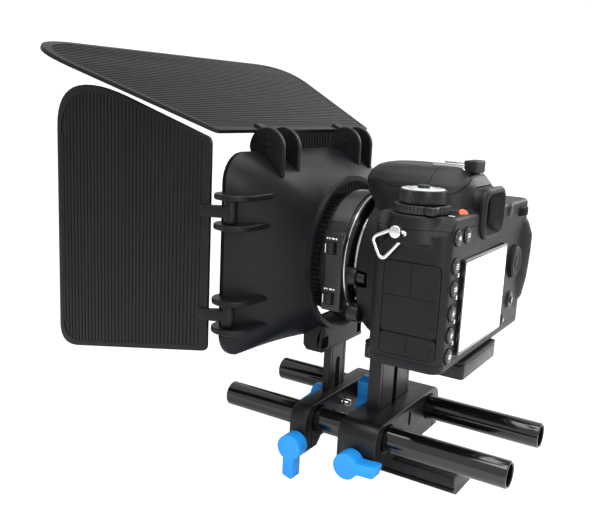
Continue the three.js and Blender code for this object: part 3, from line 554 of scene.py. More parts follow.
def plates():
    low, high = span("tripod_plate")
    outline = [(-13, low.z), (13, low.z), (19, low.z + 4), (19, high.z), (-19, high.z), (-19, low.z + 4)]
    base = prism("y", softened(outline, 0.7), low.y, high.y, 0.5)
    lip = prism("y", softened([(-21, low.z + 5.2), (-17.6, low.z + 5.2), (-17.6, low.z + 6.6),
                               (-21, low.z + 6.6)], 0.2),
                low.y - 1, high.y + 1, 0)
    lip_right = turned(lip.copy(), Matrix.Scale(-1, 4, (1, 0, 0)))
    piece("tripod_plate_body", cut(base, lip, lip_right), ANODISED, "rear_clamp", ["tripod_plate"])

    low, high = span("camera_plate")
    top = prism("z", rounded(low.x, high.x, low.y, high.y, 2.2), low.z, high.z, 0.6)
    way = prism("z", rounded(-3.4, 3.4, -12, 9, 3.3), low.z - 1, high.z + 1, 0)
    piece("camera_plate_body", cut(top, way), ANODISED, "camera", ["camera_plate"], bevel=0.25)
    low, high = span("plate_pad")
    pad = prism("z", rounded(low.x, high.x, low.y, high.y, 2.2), low.z, high.z, 0.4)
    grooves = [block(x - 0.4, x + 0.4, low.y + 3, high.y - 3, high.z - 0.5, high.z + 1, 0.05)
               for x in range(-24, 25, 4)]
    way = prism("z", rounded(-3.4, 3.4, -12, 9, 3.3), low.z - 1, high.z + 1, 0)
    piece("plate_pad_sheet", cut(pad, way, together(*grooves)), RUBBER, "camera", ["plate_pad"])
    carried("camera_screw", STEEL, 0.3)


# ---------- knobs ----------
def knob_shape():
    """A boss and one paddle along +y, moulded round the head of its screw; the screw runs to -x."""
    half, reach = 3.4, 19.0
    boss = disc("x", (0, 0), 7.5, 0, 9.5, 0.5, 72)
    outline = [(0, -half), (reach - 1.8, -half), (reach, half - 1), (reach - 0.6, half), (0, half)]
    paddle = prism("x", softened(outline, 0.7), 0.8, 9.5, 0.45)
    return union(boss, paddle)


def knobs():
    lean = 0.07
    side_reach = 46.6
    rows = [
        ("clamp_knob_front_left", (1, 0, 0), (0, 0, -1), (side_reach, -68, -11), 20),
        ("clamp_knob_front_right", (-1, 0, 0), (0, 0, -1), (-side_reach, -68, -11), 20),
        ("clamp_knob_rear_left", (1, 0, 0), (0, 1, lean), (side_reach, -30.5, -11), 20),
        ("clamp_knob_rear_right", (-1, 0, 0), (0, 1, lean), (-side_reach, -30.5, -11), 20),
        ("riser_knob_front", (0, -1, 0), (1, 0, -lean), (0, -74.6, 1), 16.4),
        ("riser_knob_rear", (0, -1, 0), (lean, 0, 1), (0, -42.1, 2), 17),
    ]
    for name, out, paddle, at, screw in rows:
        outward, along = Vector(out), Vector(paddle).normalized()
        basis = Matrix((outward, along, outward.cross(along))).transposed().to_4x4()
        place = Matrix.Translation(at) @ basis
        shape = together(knob_shape(), disc("x", (0, 0), 4.2, -0.5, 0.3, 0.2, 48))
        piece(f"{name}_grip", turned(shape, place), BLUE, name, [name])
        threads = [(0, -screw), (1.7, -screw), (2.2, -screw + 0.6)]
        turns = int((screw - 2) / 0.8)
        for i in range(turns):
            start = -screw + 0.8 + i * 0.8
            threads += [(1.95, start), (2.2, start + 0.4)]
        threads += [(2.2, -0.2), (0, -0.2)]
        piece(f"{name}_screw", turned(lathe("x", (0, 0), threads, 24), place), STEEL, name)


# ---------- matte box ----------
RING_Y, RIM_Y, LIP_Y = -64.6, -99.0, -101.4
HOOD_HALF, HOOD_LOW, HOOD_HIGH, HOOD_CORNER = 81.5, 42.0, 158.0, 16.0
RING_R = 47.4
WALL = 2.4


def rim_distance(c, s, half_w, half_h, corner):
    flat = min(half_w / max(abs(c), 1e-6), half_h / max(abs(s), 1e-6))
    cx, cz = half_w - corner, half_h - corner
    if abs(c) * flat <= cx or abs(s) * flat <= cz:
        return flat
    along = abs(c) * cx + abs(s) * cz
    return along + math.sqrt(max(0.0, corner * corner - cx * cx - cz * cz + along * along))


def hood_ring(y, share, shrink, sides=168):
    ring_r = RING_R - shrink
    points = []
    for i in range(sides):
        a = 2 * math.pi * i / sides
        c, s = math.cos(a), math.sin(a)
        half_h = (LENS_Z - HOOD_LOW if s < 0 else HOOD_HIGH - LENS_Z) - shrink
        rim = rim_distance(c, s, HOOD_HALF - shrink, half_h, HOOD_CORNER - shrink / 2)
        radius = ring_r + (rim - ring_r) * share
        points.append(Vector((radius * c, y, LENS_Z + radius * s)))
    return points


def hood_skin(shrink, back_y, front_y, steps=18):
    start = RING_Y - 3
    rings = [hood_ring(back_y, 0, shrink), hood_ring(start, 0, shrink)]
    for i in range(1, steps + 1):
        share = i / steps
        rings.append(hood_ring(start + (RIM_Y - start) * share, share + 0.1 * math.sin(math.pi * share),
                               shrink))
    rings.append(hood_ring(front_y, 1, shrink))
    return skin(bmesh.new(), rings)


EAR_Y, EAR_R = -92.8, 11.6
TOP_EAR_Z, TOP_PIVOT_Z, TOP_EAR_X = 160.2, 162.2, 44.5
SIDE_EAR_X, SIDE_PIVOT_X, SIDE_EAR_Z, SIDE_EAR_DZ = 80.5, 84.5, 98.8, 28.5
EAR_GAP, EAR_THICK = 13.0, 3.0


def ear_outline(out, inward):
    points = [(EAR_Y + EAR_R * math.cos(a), out + EAR_R * math.sin(a))
              for a in (math.pi * k / 28 for k in range(29))]
    return [(EAR_Y + EAR_R, out + inward), *points, (EAR_Y - EAR_R + 5, out + inward)]


def ears():
    made = []
    half = EAR_THICK / 2
    for side in (-1, 1):
        for edge in (-1, 1):
            offset = edge * (EAR_GAP + EAR_THICK) / 2
            x = side * TOP_EAR_X + offset
            made.append(prism("x", ear_outline(TOP_EAR_Z, -15), x - half, x + half, 0.7, 4))
            for level in (-1, 1):
                z = SIDE_EAR_Z + level * SIDE_EAR_DZ + offset
                outline = [(side * v, u) for u, v in ear_outline(SIDE_EAR_X, -22)]
                made.append(prism("z", outline, z - half, z + half, 0.7, 4))
    return made


def hood_foot():
    outline = softened([(-80, 42), (-77.5, 39), (-66.2, 39), (-66.2, 56), (-80, 56)], 0.8)
    foot = prism("x", outline, -25.5, 25.5, 0.8, 4)
    return cut(foot, disc("y", (0, LENS_Z), RING_R - 1, -92, -60, 0.1, 120))


def matte_box():
    riser_low, riser_high = span("front_riser")
    gap = 0.3
    pocket = block(riser_low.x - gap, riser_high.x + gap, riser_low.y - gap, riser_high.y + gap, 30,
                   riser_high.z + gap, 0.1)
    tools = [hood_skin(WALL, RING_Y + 1, LIP_Y - 1), pocket]
    for side in (-1, 1):
        tools.append(block(side * 22.5 - 4, side * 22.5 + 4, -70, -60, 41.5, 48.5, 0.3))
    body = union(hood_skin(0, RING_Y, LIP_Y), *ears(), hood_foot())
    body = cut(body, *tools)
    for side in (-1, 1):
        body = cut(body, disc("x", (EAR_Y, TOP_PIVOT_Z), 2.1, side * TOP_EAR_X - 12, side * TOP_EAR_X + 12,
                              0.1, 24))
        body = cut(body, disc("z", (side * SIDE_PIVOT_X, EAR_Y), 2.1, 40, 160, 0.1, 24))
    piece("matte_box_moulding", body, HOOD, "hood", ["matte_box"], smooth=38, bevel=0.3)
    ribs = []
    for i in range(5):
        y = RING_Y - 0.6 - i * 1.1
        ribs.append(pipe("y", (0, LENS_Z), RING_R - WALL + 0.2, RING_R - WALL - 0.7, y - 0.35, y + 0.15, 0.1,
                         120))
    piece("matte_box_inner_ribs", together(*ribs), HOOD, "hood")


# ---------- flags ----------
FLAG_THICK = 2.4
FLAG_RIM = 3.2
RIB_PITCH = 2.55
BACK_CORNER = 3.0
# How far each front corner's curve reaches: backward along the side edge, and inward along the front edge.
TOP_ROUND, HIGH_ROUND, LOW_ROUND = (34, 45), (52, 37), (15, 14)
# name, tilt, start, offset, length, back edge's ends, front edge's ends, front corners, arms, side
FLAGS = [
    ("top_flag", 22.9, 11.2, 1.3, 113.5, (-85.8, 85.8), (-134.5, 134.5), (TOP_ROUND, TOP_ROUND),
     (-TOP_EAR_X, TOP_EAR_X), 0),
    ("side_flag_left", 5.4, 10.8, 1.9, 107.5, (49, 165.6), (32.3, 202.5), (LOW_ROUND, HIGH_ROUND),
     (SIDE_EAR_Z - SIDE_EAR_DZ, SIDE_EAR_Z + SIDE_EAR_DZ), 1),
    ("side_flag_right", 5.4, 10.8, 1.9, 107.5, (-165.6, -49), (-202.5, -32.3), (HIGH_ROUND, LOW_ROUND),
     (-SIDE_EAR_Z - SIDE_EAR_DZ, SIDE_EAR_DZ - SIDE_EAR_Z), -1),
]


def curve(first, corner, last, steps=14):
    first, corner, last = Vector(first), Vector(corner), Vector(last)
    shares = [k / steps for k in range(steps + 1)]
    return [tuple(first * (1 - t) ** 2 + corner * 2 * t * (1 - t) + last * t * t) for t in shares]


def flag_outline(start, length, back, front, corners, by):
    """The blade's outline drawn in by a distance. u runs out from the hinge and v along it."""
    def edge(u, side):
        return back[side] + (front[side] - back[side]) * (u - start) / length + (-by if side else by)

    near, tip = start + by, start + length - by
    turn = near + BACK_CORNER
    (low_back, low_in), (high_back, high_in) = corners
    points = curve((near, edge(near, 0) + BACK_CORNER), (near, edge(near, 0)), (turn, edge(turn, 0)), 4)
    points += curve((tip - low_back, edge(tip - low_back, 0)), (tip, edge(tip, 0)),
                    (tip, edge(tip, 0) + low_in))
    points += curve((tip, edge(tip, 1) - high_in), (tip, edge(tip, 1)),
                    (tip - high_back, edge(tip - high_back, 1)))
    points += curve((turn, edge(turn, 1)), (near, edge(near, 1)), (near, edge(near, 1) - BACK_CORNER), 4)
    return points


def crossing(outline, u):
    """The lowest and the highest v at which a line of constant u crosses the outline."""
    found = []
    for a, b in zip(outline, outline[1:] + outline[:1]):
        if (a[0] - u) * (b[0] - u) < 0:
            found.append(a[1] + (b[1] - a[1]) * (u - a[0]) / (b[0] - a[0]))
    return min(found), max(found)


def flag_blade(start, offset, length, back, front, corners):
    """The blade runs out along x from the hinge at the origin, offset in y, with ribs along the hinge."""
    face = offset + FLAG_THICK
    relief, half_rib = 0.45, 0.78
    outline = flag_outline(start, length, back, front, corners, 0)
    inner = flag_outline(start, length, back, front, corners, FLAG_RIM)
    plate = prism("y", flag_outline(start, length, back, front, corners, 0.05), offset + relief,
                  face - relief, 0)
    rim = cut(prism("y", outline, offset, face, 0.4), prism("y", inner, offset - 1, face + 1, 0))
    ribs = []
    count = int((length - 2 * FLAG_RIM - 1.2) / RIB_PITCH)
    first = start + (length - count * RIB_PITCH) / 2
    for i in range(count + 1):
        u = first + i * RIB_PITCH
        ends = [crossing(inner, at) for at in (u - half_rib, u + half_rib)]
        low, high = max(e[0] for e in ends) - 0.8, min(e[1] for e in ends) + 0.8
        ribs.append(prism("y", rounded(u - half_rib, u + half_rib, low, high, 0.4, 2), offset + 0.06,
                          face - 0.06, 0.3, 2))
    return union(plate, rim, together(*ribs))


def flag_arms(start, offset, arms):
    """Each arm bridges the blade and its hinge boss, and its pin passes through both ears."""
    parts = []
    face = offset + FLAG_THICK + 1.6
    for v in arms:
        outline = [(-1, -3), (2, -3), (start, offset + 0.5), (start + 5, offset + 0.5), (start + 5, face)]
        outline += [(start - 1, face), (0, 3.4)]
        arm = prism("z", softened(outline, 0.8), v - 3.2, v + 3.2, 0.5)
        boss = disc("z", (0, 0), 3.6, v - EAR_GAP / 2 + 0.3, v + EAR_GAP / 2 - 0.3, 0.4, 40)
        pin = disc("z", (0, 0), 1.8, v - EAR_GAP / 2 - EAR_THICK, v + EAR_GAP / 2 + EAR_THICK, 0.4, 32)
        parts.append(union(arm, boss, pin))
    return parts


def flags():
    for name, degrees, start, offset, length, back, front, corners, arms, side in FLAGS:
        tilt = math.radians(degrees)
        if side:
            along = Vector((side * math.sin(tilt), -math.cos(tilt), 0))
            out = Vector((side * math.cos(tilt), math.sin(tilt), 0))
            pivot = Vector((side * SIDE_PIVOT_X, EAR_Y, 0))
        else:
            along = Vector((0, -math.cos(tilt), math.sin(tilt)))
            out = Vector((0, math.sin(tilt), math.cos(tilt)))
            pivot = Vector((0, EAR_Y, TOP_PIVOT_Z))
        basis = Matrix((along, out, along.cross(out))).transposed().to_4x4()
        blade = union(flag_blade(start, offset, length, back, front, corners),
                      *flag_arms(start, offset, arms))
        shape = turned(blade, Matrix.Translation(pivot) @ basis)
        piece(f"{name}_blade", shape, FLAG, name, [name], smooth=35)


# ---------- lens ----------
def ribbed(outer, inner, low, high, ribs=72):
    """A rubber grip ring with raised blocks round it."""
    base = pipe("y", (0, LENS_Z), outer - 0.7, inner, low, high, 0.3, 144)
    teeth = []
    for i in range(ribs):
        a = 2 * math.pi * i / ribs
        tooth = block(outer - 1.4, outer, low + 1, high - 1, -0.9, 0.9, 0.25)
        teeth.append(turned(tooth, Matrix.Translation((0, 0, LENS_Z)) @ Matrix.Rotation(a, 4, "Y")))
    return union(base, together(*teeth))


def lens():
    low, high = span("lens_tube")
    tube = [(27, low.y), (31.4, low.y), (32, low.y + 0.6), (32, high.y), (27, high.y)]
    piece("lens_tube_body", lathe("y", (0, LENS_Z), tube, 160), LENS_BLACK, "camera", ["lens_tube"])
    low, high = span("lens_barrel")
    profile = [(27, low.y), (38.7, low.y), (39.5, low.y + 0.8)]
    profile += [(39.5, -50.2), (38.9, -49.6), (38.9, -49), (39.5, -48.4), (39.5, high.y - 0.4),
                (39.1, high.y)]
    profile += [(27, high.y)]
    barrel = lathe("y", (0, LENS_Z), profile, 160)
    panel = block(34, 40.1, -60.3, -48.5, LENS_Z - 26, LENS_Z + 19, 0.7)
    wells = [block(38.7, 42, -58.2, -51.8, z, z + 7.2, 0.1) for z in (103.4, 74.4)]
    piece("lens_barrel_body", cut(union(barrel, panel), *wells), LENS_BLACK, "camera", ["lens_barrel"],
          bevel=0.2)
    ribs = []
    for i in range(9):
        a0, a1 = math.radians(38), math.radians(142)
        y = -50.8 - i * 1.25
        arc = [(39.45 * math.cos(a), y, LENS_Z + 39.45 * math.sin(a))
               for a in (a0 + (a1 - a0) * k / 60 for k in range(61))]
        ribs.append(wire(arc, 0.32, closed=False, sides=8))
    piece("lens_barrel_ribs", together(*ribs), LENS_BLACK, "camera")
    band = pipe("y", (0, LENS_Z), 39.75, 39.2, high.y - 1.9, high.y - 1.1, 0.12, 160)
    piece("lens_silver_band", band, STEEL, "camera")
    for name in ("zoom_ring", "focus_ring"):
        low, high = span(name)
        piece(f"{name}_grip", ribbed(high.x, 32.3, low.y, high.y), RUBBER, name, [name])
    bezel = lathe("y", (0, LENS_Z), [(25.2, -88.6), (26.6, -88.2), (26.9, -84), (25.2, -84)], 128)
    piece("front_glass_bezel", bezel, LENS_BLACK, "camera")
    dome = [(0, -90.0)]
    dome += [(25.4 * math.sin(a), -86.4 - 3.6 * math.cos(a))
             for a in (math.pi / 2 * k / 16 for k in range(1, 17))]
    dome += [(25.4, -84.4), (0, -84.4)]
    piece("front_glass_dome", lathe("y", (0, LENS_Z), dome, 96), PRISM, "camera", ["front_glass"])
    for name, z in (("focus_switch", 103.4), ("stabiliser_switch", 74.4)):
        low, high = span(name)
        base = block(low.x, low.x + 1.3, low.y, high.y, low.z, high.z, 0.15)
        thumb = block(high.x - 1.2, high.x, low.y + 0.4, high.y - 0.6, low.z + 0.6, high.z - 0.6, 0.3)
        grips = []
        for i in range(3):
            y = low.y + 0.9 + i * 0.8
            grips.append(block(high.x - 0.3, high.x + 1, y, y + 0.35, low.z + 1, high.z - 1, 0.05))
        piece(f"{name}_slider", cut(union(base, thumb), *grips), LENS_BLACK, name, [name])
        marks = [block(40.05, 40.18, -59.6, -59.2, z + 0.6, z + 5.6, 0.02)]
        for y, wide in ((-58.4, 0.5), (-56.9, 0.4), (-54.6, 0.9), (-52.6, 0.5)):
            marks.append(block(40.05, 40.18, y - wide, y + wide, z + 8.6, z + 9.4, 0.02))
        piece(f"{name}_marks", together(*marks), WHITE, "camera", ())


# ---------- camera body ----------
# Where the controls stand: (x, y) for those on top, (x, z) for those on the front, (y, z) for the strap lugs.
DIAL_AT = (45, -1.2)
SHUTTER_AT = (-60, -33)
REAR_DIAL_AT = (-60, 12.5)
RELEASE_AT = (41.2, 93.5)
LUG_AT = (-6.5, 125.4)
BODY_LEFT, BODY_RIGHT, BODY_LOW, BODY_TOP, BODY_FRONT, BODY_BACK = 59.5, -76.0, 54.0, 134.0, -21.5, 20.5
TOP_SEAM, BASE_SEAM, REAR_SEAM, SEAM = 127.5, 59.0, 9.0, 0.22
FAR = 200
VOXEL = 0.7
MELT_ROUNDS = 12


def oval(z, half_w, front, rear, sides=72, power=0.62, shrink=0.0):
    half_w, front, rear = half_w - shrink, front + shrink, rear - shrink
    points = []
    for i in range(sides):
        a = 2 * math.pi * i / sides
        c = math.copysign(abs(math.cos(a)) ** power, math.cos(a))
        s = math.copysign(abs(math.sin(a)) ** power, math.sin(a))
        points.append(Vector((half_w * c, (front + rear) / 2 + (rear - front) / 2 * s, z)))
    return points


def hump(shrink=0.0):
    rows = [(120, 34, -38, 20), (126, 33, -40, 20), (134, 30.4, -44, 19), (140.5, 29.8, -48.8, 18)]
    rows += [(146.5, 27.8, -49.8, 15.4), (151, 24.6, -48, 11.6), (154, 21, -44.5, 8.4), (155.4, 17, -40, 6)]
    rings = [oval(z - shrink, half_w, front, rear, shrink=shrink) for z, half_w, front, rear in rows]
    return skin(bmesh.new(), rings)


def thumb_rest():
    rings = []
    for z, draw in ((64, 9), (72, 3), (84, 1), (100, 0), (112, 0), (120, 3), (126, 8)):
        out = 25.6 - draw
        outline = [(-76, 8), (-57, 8), (-56.5, 15), (-60, out - 4), (-66, out - 1), (-71, out),
                   (-75, out - 4), (-76, 13)]
        rings.append([Vector((x, y, z)) for x, y in softened(outline, 3)])
    return skin(bmesh.new(), rings)


def body_outside():
    core = prism("z", rounded(BODY_RIGHT, BODY_LEFT, BODY_FRONT, BODY_BACK, 7, 8), BODY_LOW, BODY_TOP, 2.0)
    shoulder = prism("y", [(BODY_LEFT - 9, BODY_TOP + 1), (BODY_LEFT + 1, BODY_TOP - 11),
                           (BODY_LEFT + 1, BODY_TOP + 1)],
                     BODY_FRONT - 1, BODY_BACK + 1, 0)
    grip = prism("z", rounded(BODY_RIGHT, -43, -44, 6, 11, 8), BODY_LOW, 127, 3)
    slope = prism("x", [(-50, 117), (-20, 128), (-20, 140), (-50, 140)], -80, -40, 0)
    boss = lathe("y", (0, LENS_Z - 1), [(0, -38.5), (42.6, -38.5), (43.5, -37.6), (47, -18), (0, -18)], 120)
    boss_room = block(-60, 60, -60, 0, BODY_LOW, 154, 0.1)
    pedestal = lathe("z", DIAL_AT, [(0, 120), (20, 120), (18.2, 126), (16.4, 131), (15.6, 134), (0, 134)], 72)
    whole = union(cut(core, shoulder), cut(grip, slope), thumb_rest(), boolean(boss, boss_room, "INTERSECT"),
                  hump())
    lugs = []
    for side, wall in ((1, BODY_LEFT), (-1, BODY_RIGHT)):
        low, high = sorted((wall - side * 3, wall + side * 1.2))
        lugs.append(disc("x", LUG_AT, 5.4, low, high, 0.6, 40))
    return union(whole, boolean(pedestal, block(20, 66, -26, BODY_BACK, 110, 140, 0.1), "INTERSECT"), *lugs)


def round_well(axis, centre, r, low, high, lip=0.5):
    """A cutter for a round hole with an eased edge on its high side, or its low side for a negative lip."""
    if lip >= 0:
        profile = [(0, low), (r, low), (r, high - 2 * lip), (r + lip, high - lip), (r + lip, high + 20),
                   (0, high + 20)]
    else:
        profile = [(0, low - 20), (r - lip, low - 20), (r - lip, low - lip), (r, low - 2 * lip), (r, high),
                   (0, high)]
    return lathe(axis, centre, profile, 64)


BUTTONS = [f"menu_button_{i}" for i in range(1, 6)] + ["playback_button", "delete_button"]


def body_recesses():
    tools = []
    for name in BUTTONS:
        low, high = span(name)
        middle = (low + high) / 2
        tools.append(round_well("y", (middle.x, middle.z), high.x - middle.x + 0.25, BODY_BACK - 5, BODY_BACK,
                                0.35))
    low, high = span("display_window")
    tools.append(prism("y", rounded(low.x - 0.3, high.x + 0.3, low.z - 0.3, high.z + 0.3, 1.2),
                       BODY_BACK - 1.4, BODY_BACK + 6, 0))
    low, high = span("multi_selector")
    middle = (low + high) / 2
    tools.append(round_well("y", (middle.x, middle.z), high.x - middle.x + 0.3, BODY_BACK - 5,
                            BODY_BACK + 0.6, 0.8))
    low, high = span("rear_dial")
    middle = (low + high) / 2
    tools.append(disc("z", (middle.x, middle.y), high.x - middle.x + 0.3, low.z - 0.3, high.z + 0.3, 0.1, 64))
    low, high = span("front_dial")
    middle = (low + high) / 2
    tools.append(disc("x", (middle.y, middle.z), high.z - middle.z + 0.3, low.x - 0.3, high.x + 0.3, 0.1, 64))
    tools.append(round_well("z", SHUTTER_AT, 9.9, 123.4, 127.4, 0.3))
    tools.append(disc("z", SHUTTER_AT, 5.5, 116, 130, 0.1, 48))
    low, high = span("eyecup")
    tools.append(prism("y", rounded(low.x - 0.3, high.x + 0.3, low.z - 0.3, high.z + 0.3, 9), low.y - 0.3, 60,
                       0))
    tools.append(prism("y", rounded(-13, 13, 124.4, 139.2, 3), 0, 40, 0))
    tools.append(disc("y", (0, LENS_Z), 35, -60, -41.5, 0.1, 96))
    tools.append(disc("y", (0, LENS_Z), 24, -60, -20, 0.1, 96))
    tools.append(disc("y", RELEASE_AT, 5.3, -60, -30, 0.1, 48))
    ports_low, ports_high = span("port_cover_lower")[0], span("port_cover_upper")[1]
    tools.append(prism("x", rounded(ports_low.y - 0.3, ports_high.y + 0.3, ports_low.z - 0.3,
                                    ports_high.z + 0.3, 2.8),
                       BODY_LEFT - 2, BODY_LEFT + 20, 0))
    return tools


FLASH_LINE = [(-60, 151), (-46, 149), (-28, 144.4), (-12, 142.8), (-6, 148), (-4, 170), (-60, 170)]
# The cover's line carries on as a shallow groove to the back of the hump.
COVER_GROOVE = [(-10, 142.8), (-2, 141.6), (5, 142), (10, 144.2), (12, 147.6), (11, 152), (7, 156.5)]


def ribbon(path, width):
    """A band of a width along an open path."""
    edges = ([], [])
    for i, here in enumerate(path):
        along = (Vector(path[min(i + 1, len(path) - 1)]) - Vector(path[max(i - 1, 0)])).normalized()
        aside = Vector((-along.y, along.x)) * width / 2
        for edge, sign in zip(edges, (1, -1)):
            edge.append(tuple(Vector(here) + aside * sign))
    return [*edges[0], *reversed(edges[1])]


def camera_shells():
    solid = melted(body_outside(), VOXEL, MELT_ROUNDS)
    zone = prism("x", FLASH_LINE, -40, 40, 0)
    flash = boolean(solid.copy(), zone, "INTERSECT")
    grown = [(y + (SEAM if 3 < i < 6 else 0), z - (SEAM if i < 5 else 0)) for i,
             (y, z) in enumerate(FLASH_LINE)]
    solid = cut(solid, prism("x", grown, -40, 40, 0), *body_recesses())
    groove = cut(prism("x", ribbon(COVER_GROOVE, 0.5), -40, 40, 0), hump(0.9))
    solid = cut(solid, groove)
    left = BODY_LEFT - 4.4
    behind = block(-FAR, left, REAR_SEAM + SEAM / 2, FAR, BASE_SEAM + SEAM, TOP_SEAM - SEAM, 0)
    behind_gap = block(-FAR, left + SEAM, REAR_SEAM - SEAM / 2, FAR, 0, FAR, 0)
    middle = block(-FAR, FAR, -FAR, FAR, BASE_SEAM + SEAM, TOP_SEAM - SEAM, 0)
    above = block(-FAR, FAR, -FAR, FAR, TOP_SEAM, FAR, 0)
    below = block(-FAR, FAR, -FAR, FAR, -FAR, BASE_SEAM, 0)
    battery_low, battery_high = span("battery_door")
    battery_well = block(battery_low.x - 0.3, battery_high.x + 0.3, battery_low.y - 0.3, battery_high.y + 0.3,
                         40, 62, 0)
    shoe = block(-10.5, 10.5, -13, 7.4, 154.2, 170, 0.1)
    shells = {
        "top_cover": cut(boolean(solid.copy(), above, "INTERSECT"), shoe),
        "base_cover": cut(boolean(solid.copy(), below, "INTERSECT"), battery_well),
        "rear_cover": boolean(solid.copy(), behind, "INTERSECT"),
        "front_shell": boolean(boolean(solid, middle, "INTERSECT"), behind_gap, "DIFFERENCE"),
    }
    for name, shell in shells.items():
        made = piece(f"{name}_moulding", shell, [BODY, LEATHER], "camera", [name], smooth=30)
        wrap_grip(made)
    piece("popup_flash_cover", flash, BODY, "popup_flash", ["popup_flash"], smooth=30)


def wrap_grip(obj):
    """The hand grip, the thumb rest and the left front corner wear the ribbed rubber skin."""
    for face in obj.data.polygons:
        at = TO_RIG @ face.center
        on_grip = at.x < -45 and at.y < 2 and 60 < at.z < 119 and (at.y < -20 or at.x < -72)
        on_thumb = at.x < -58.5 and at.y > 16 and 66 < at.z < 123
        on_left = at.x > 50 and -20 < at.y < -14.2 and 61 < at.z < 113
        face.material_index = 1 if on_grip or on_thumb or on_left else 0


def blocky(name, material, body, soft=0.3):
    low, high = span(name)
    return piece(f"{name}_body", block(low.x, high.x, low.y, high.y, low.z, high.z, soft), material, body,
                 [name])


def camera_insides():
    for name, material in (("mount_ring", STEEL), ("mirror_box", DULL), ("battery", DULL),
                           ("reflex_mirror", PRISM)):
        carried(name, material, 0.2)
    for name in ("image_sensor", "pentaprism"):
        carried(name, PRISM, 0.3)
    blocky("battery_door", BODY, "battery_door", 0.5)


# ---------- camera controls ----------
def icon(kind, x, z, y, size=1.45):
    """A plain sign on a rear button: bars, a square, a cross or a triangle."""
    deep = (y - 0.2, y + 0.06)
    if kind == "triangle":
        return prism("y", [(x - size, z - size * 0.8), (x + size, z), (x - size, z + size * 0.8)], *deep, 0)
    if kind == "square":
        tall, line = size * 0.7, 0.5
        ring = prism("y", rounded(x - size, x + size, z - tall, z + tall, 0.2, 2), *deep, 0)
        inner = rounded(x - size + line, x + size - line, z - tall + line, z + tall - line, 0.1, 2)
        return cut(ring, prism("y", inner, y - 1, y + 1, 0))
    if kind == "cross":
        across = prism("y", rounded(x - size, x + size, z - 0.3, z + 0.3, 0.1, 2), *deep, 0)
        return union(across, prism("y", rounded(x - 0.3, x + 0.3, z - size, z + size, 0.1, 2), *deep, 0))
    bars = [prism("y", rounded(x - size, x + size, z + k - 0.22, z + k + 0.22, 0.1, 2), *deep, 0)
            for k in (-1.1, 0, 1.1)]
    return together(*bars)


def rear_buttons():
    signs = ("bars", "square", "cross", "cross", "square", "triangle", "square")
    for name, sign in zip(BUTTONS, signs):
        low, high = span(name)
        x, z = (low.x + high.x) / 2, (low.z + high.z) / 2
        r = high.x - x
        dome = [(0, low.y), (r, low.y), (r, high.y - 0.8), (r - 0.35, high.y - 0.25), (r - 1.1, high.y)]
        dome += [(r * 0.35, high.y - 0.12), (0, high.y - 0.15)]
        piece(f"{name}_cap", lathe("y", (x, z), dome, 48), BUTTON, name, [name])
        piece(f"{name}_sign", icon(sign, x, z, high.y - 0.02), WHITE, name)
        if name.startswith("menu") and name != "menu_button_5":
            tick = block(x - 6.6, x - 5.2, BODY_BACK - 0.6, BODY_BACK + 0.12, z - 6.6, z - 4.4, 0.05)
            piece(f"{name}_label", tick, WHITE, "camera")


def display():
    low, high = span("display_window")
    bezel = prism("y", rounded(low.x, high.x, low.z, high.z, 1.0), low.y, high.y - 0.12, 0.25)
    piece("display_bezel", bezel, BEZEL, "camera", ["display_window"])
    lit_area = prism("y", rounded(low.x + 1.6, high.x - 1.6, low.z + 1.9, high.z - 1.5, 0.4), high.y - 0.3,
                     high.y, 0.03)
    piece("display_picture", lit_area, SCREEN, "camera")


def eyecup():
    low, high = span("eyecup")
    centre_z = (low.z + high.z) / 2
    half_z = (high.z - low.z) / 2
    half = high.x
    rings = []
    steps = [(low.y, 0), (low.y + 2.4, -0.3), (17.5, -0.9), (19.4, -0.4)]
    steps += [(high.y - 1.8, 0), (high.y - 0.6, -0.6), (high.y, -2)]
    for y, grow in steps:
        outline = rounded(-half - grow, half + grow, centre_z - half_z - grow, centre_z + half_z + grow,
                          8.5 + grow, 10)
        rings.append([Vector((u, y, v)) for u, v in outline])
    outside = skin(bmesh.new(), rings)
    rings = []
    window_z = 131.6
    steps = [(10, 10.6, 6.6, 2.4), (16, 10.6, 6.6, 2.4), (16.8, 12, 8.2, 3), (20, 13.8, 10.4, 5),
             (24, 15.4, 11.6, 7)]
    for y, half_w, half_h, r in steps:
        outline = rounded(-half_w, half_w, window_z - half_h, window_z + half_h, r, 10)
        rings.append([Vector((u, y, v)) for u, v in outline])
    hollow = skin(bmesh.new(), rings)
    piece("eyecup_rubber", cut(outside, hollow), RUBBER, "camera", ["eyecup"], smooth=45)
    pane = prism("y", rounded(-11.4, 11.4, window_z - 7, window_z + 7, 2), 9.2, 10.6, 0.3)
    piece("eyepiece_window", pane, PRISM, "camera")


def port_covers():
    for name, rows in (("port_cover_upper", ((92.6, 109.8), (73.6, 92.2))),
                       ("port_cover_lower", ((62, 72.4),))):
        low, high = span(name)
        panel = prism("x", rounded(low.y, high.y, low.z, high.z, 2.5), low.x, high.x, 0.35)
        tools = []
        middle = (low.y + high.y) / 2
        for i, (z0, z1) in enumerate(rows):
            if i:
                tools.append(block(high.x - 0.35, high.x + 1, low.y + 1, high.y - 1, z1 + 0.0, z1 + 0.45,
                                   0.05))
            if not i:
                tools.append(block(high.x - 0.35, high.x + 1, middle - 0.22, middle + 0.22, z0 + 0.8,
                                   z1 - 0.8, 0.05))
        panel = cut(panel, *tools)
        tab = prism("x", rounded(high.y - 3.4, high.y - 0.4, low.z + 1.2, low.z + 6, 1.3), high.x - 0.2,
                    high.x + 0.5, 0.25)
        piece(f"{name}_flap", union(panel, tab), RUBBER, name, [name])


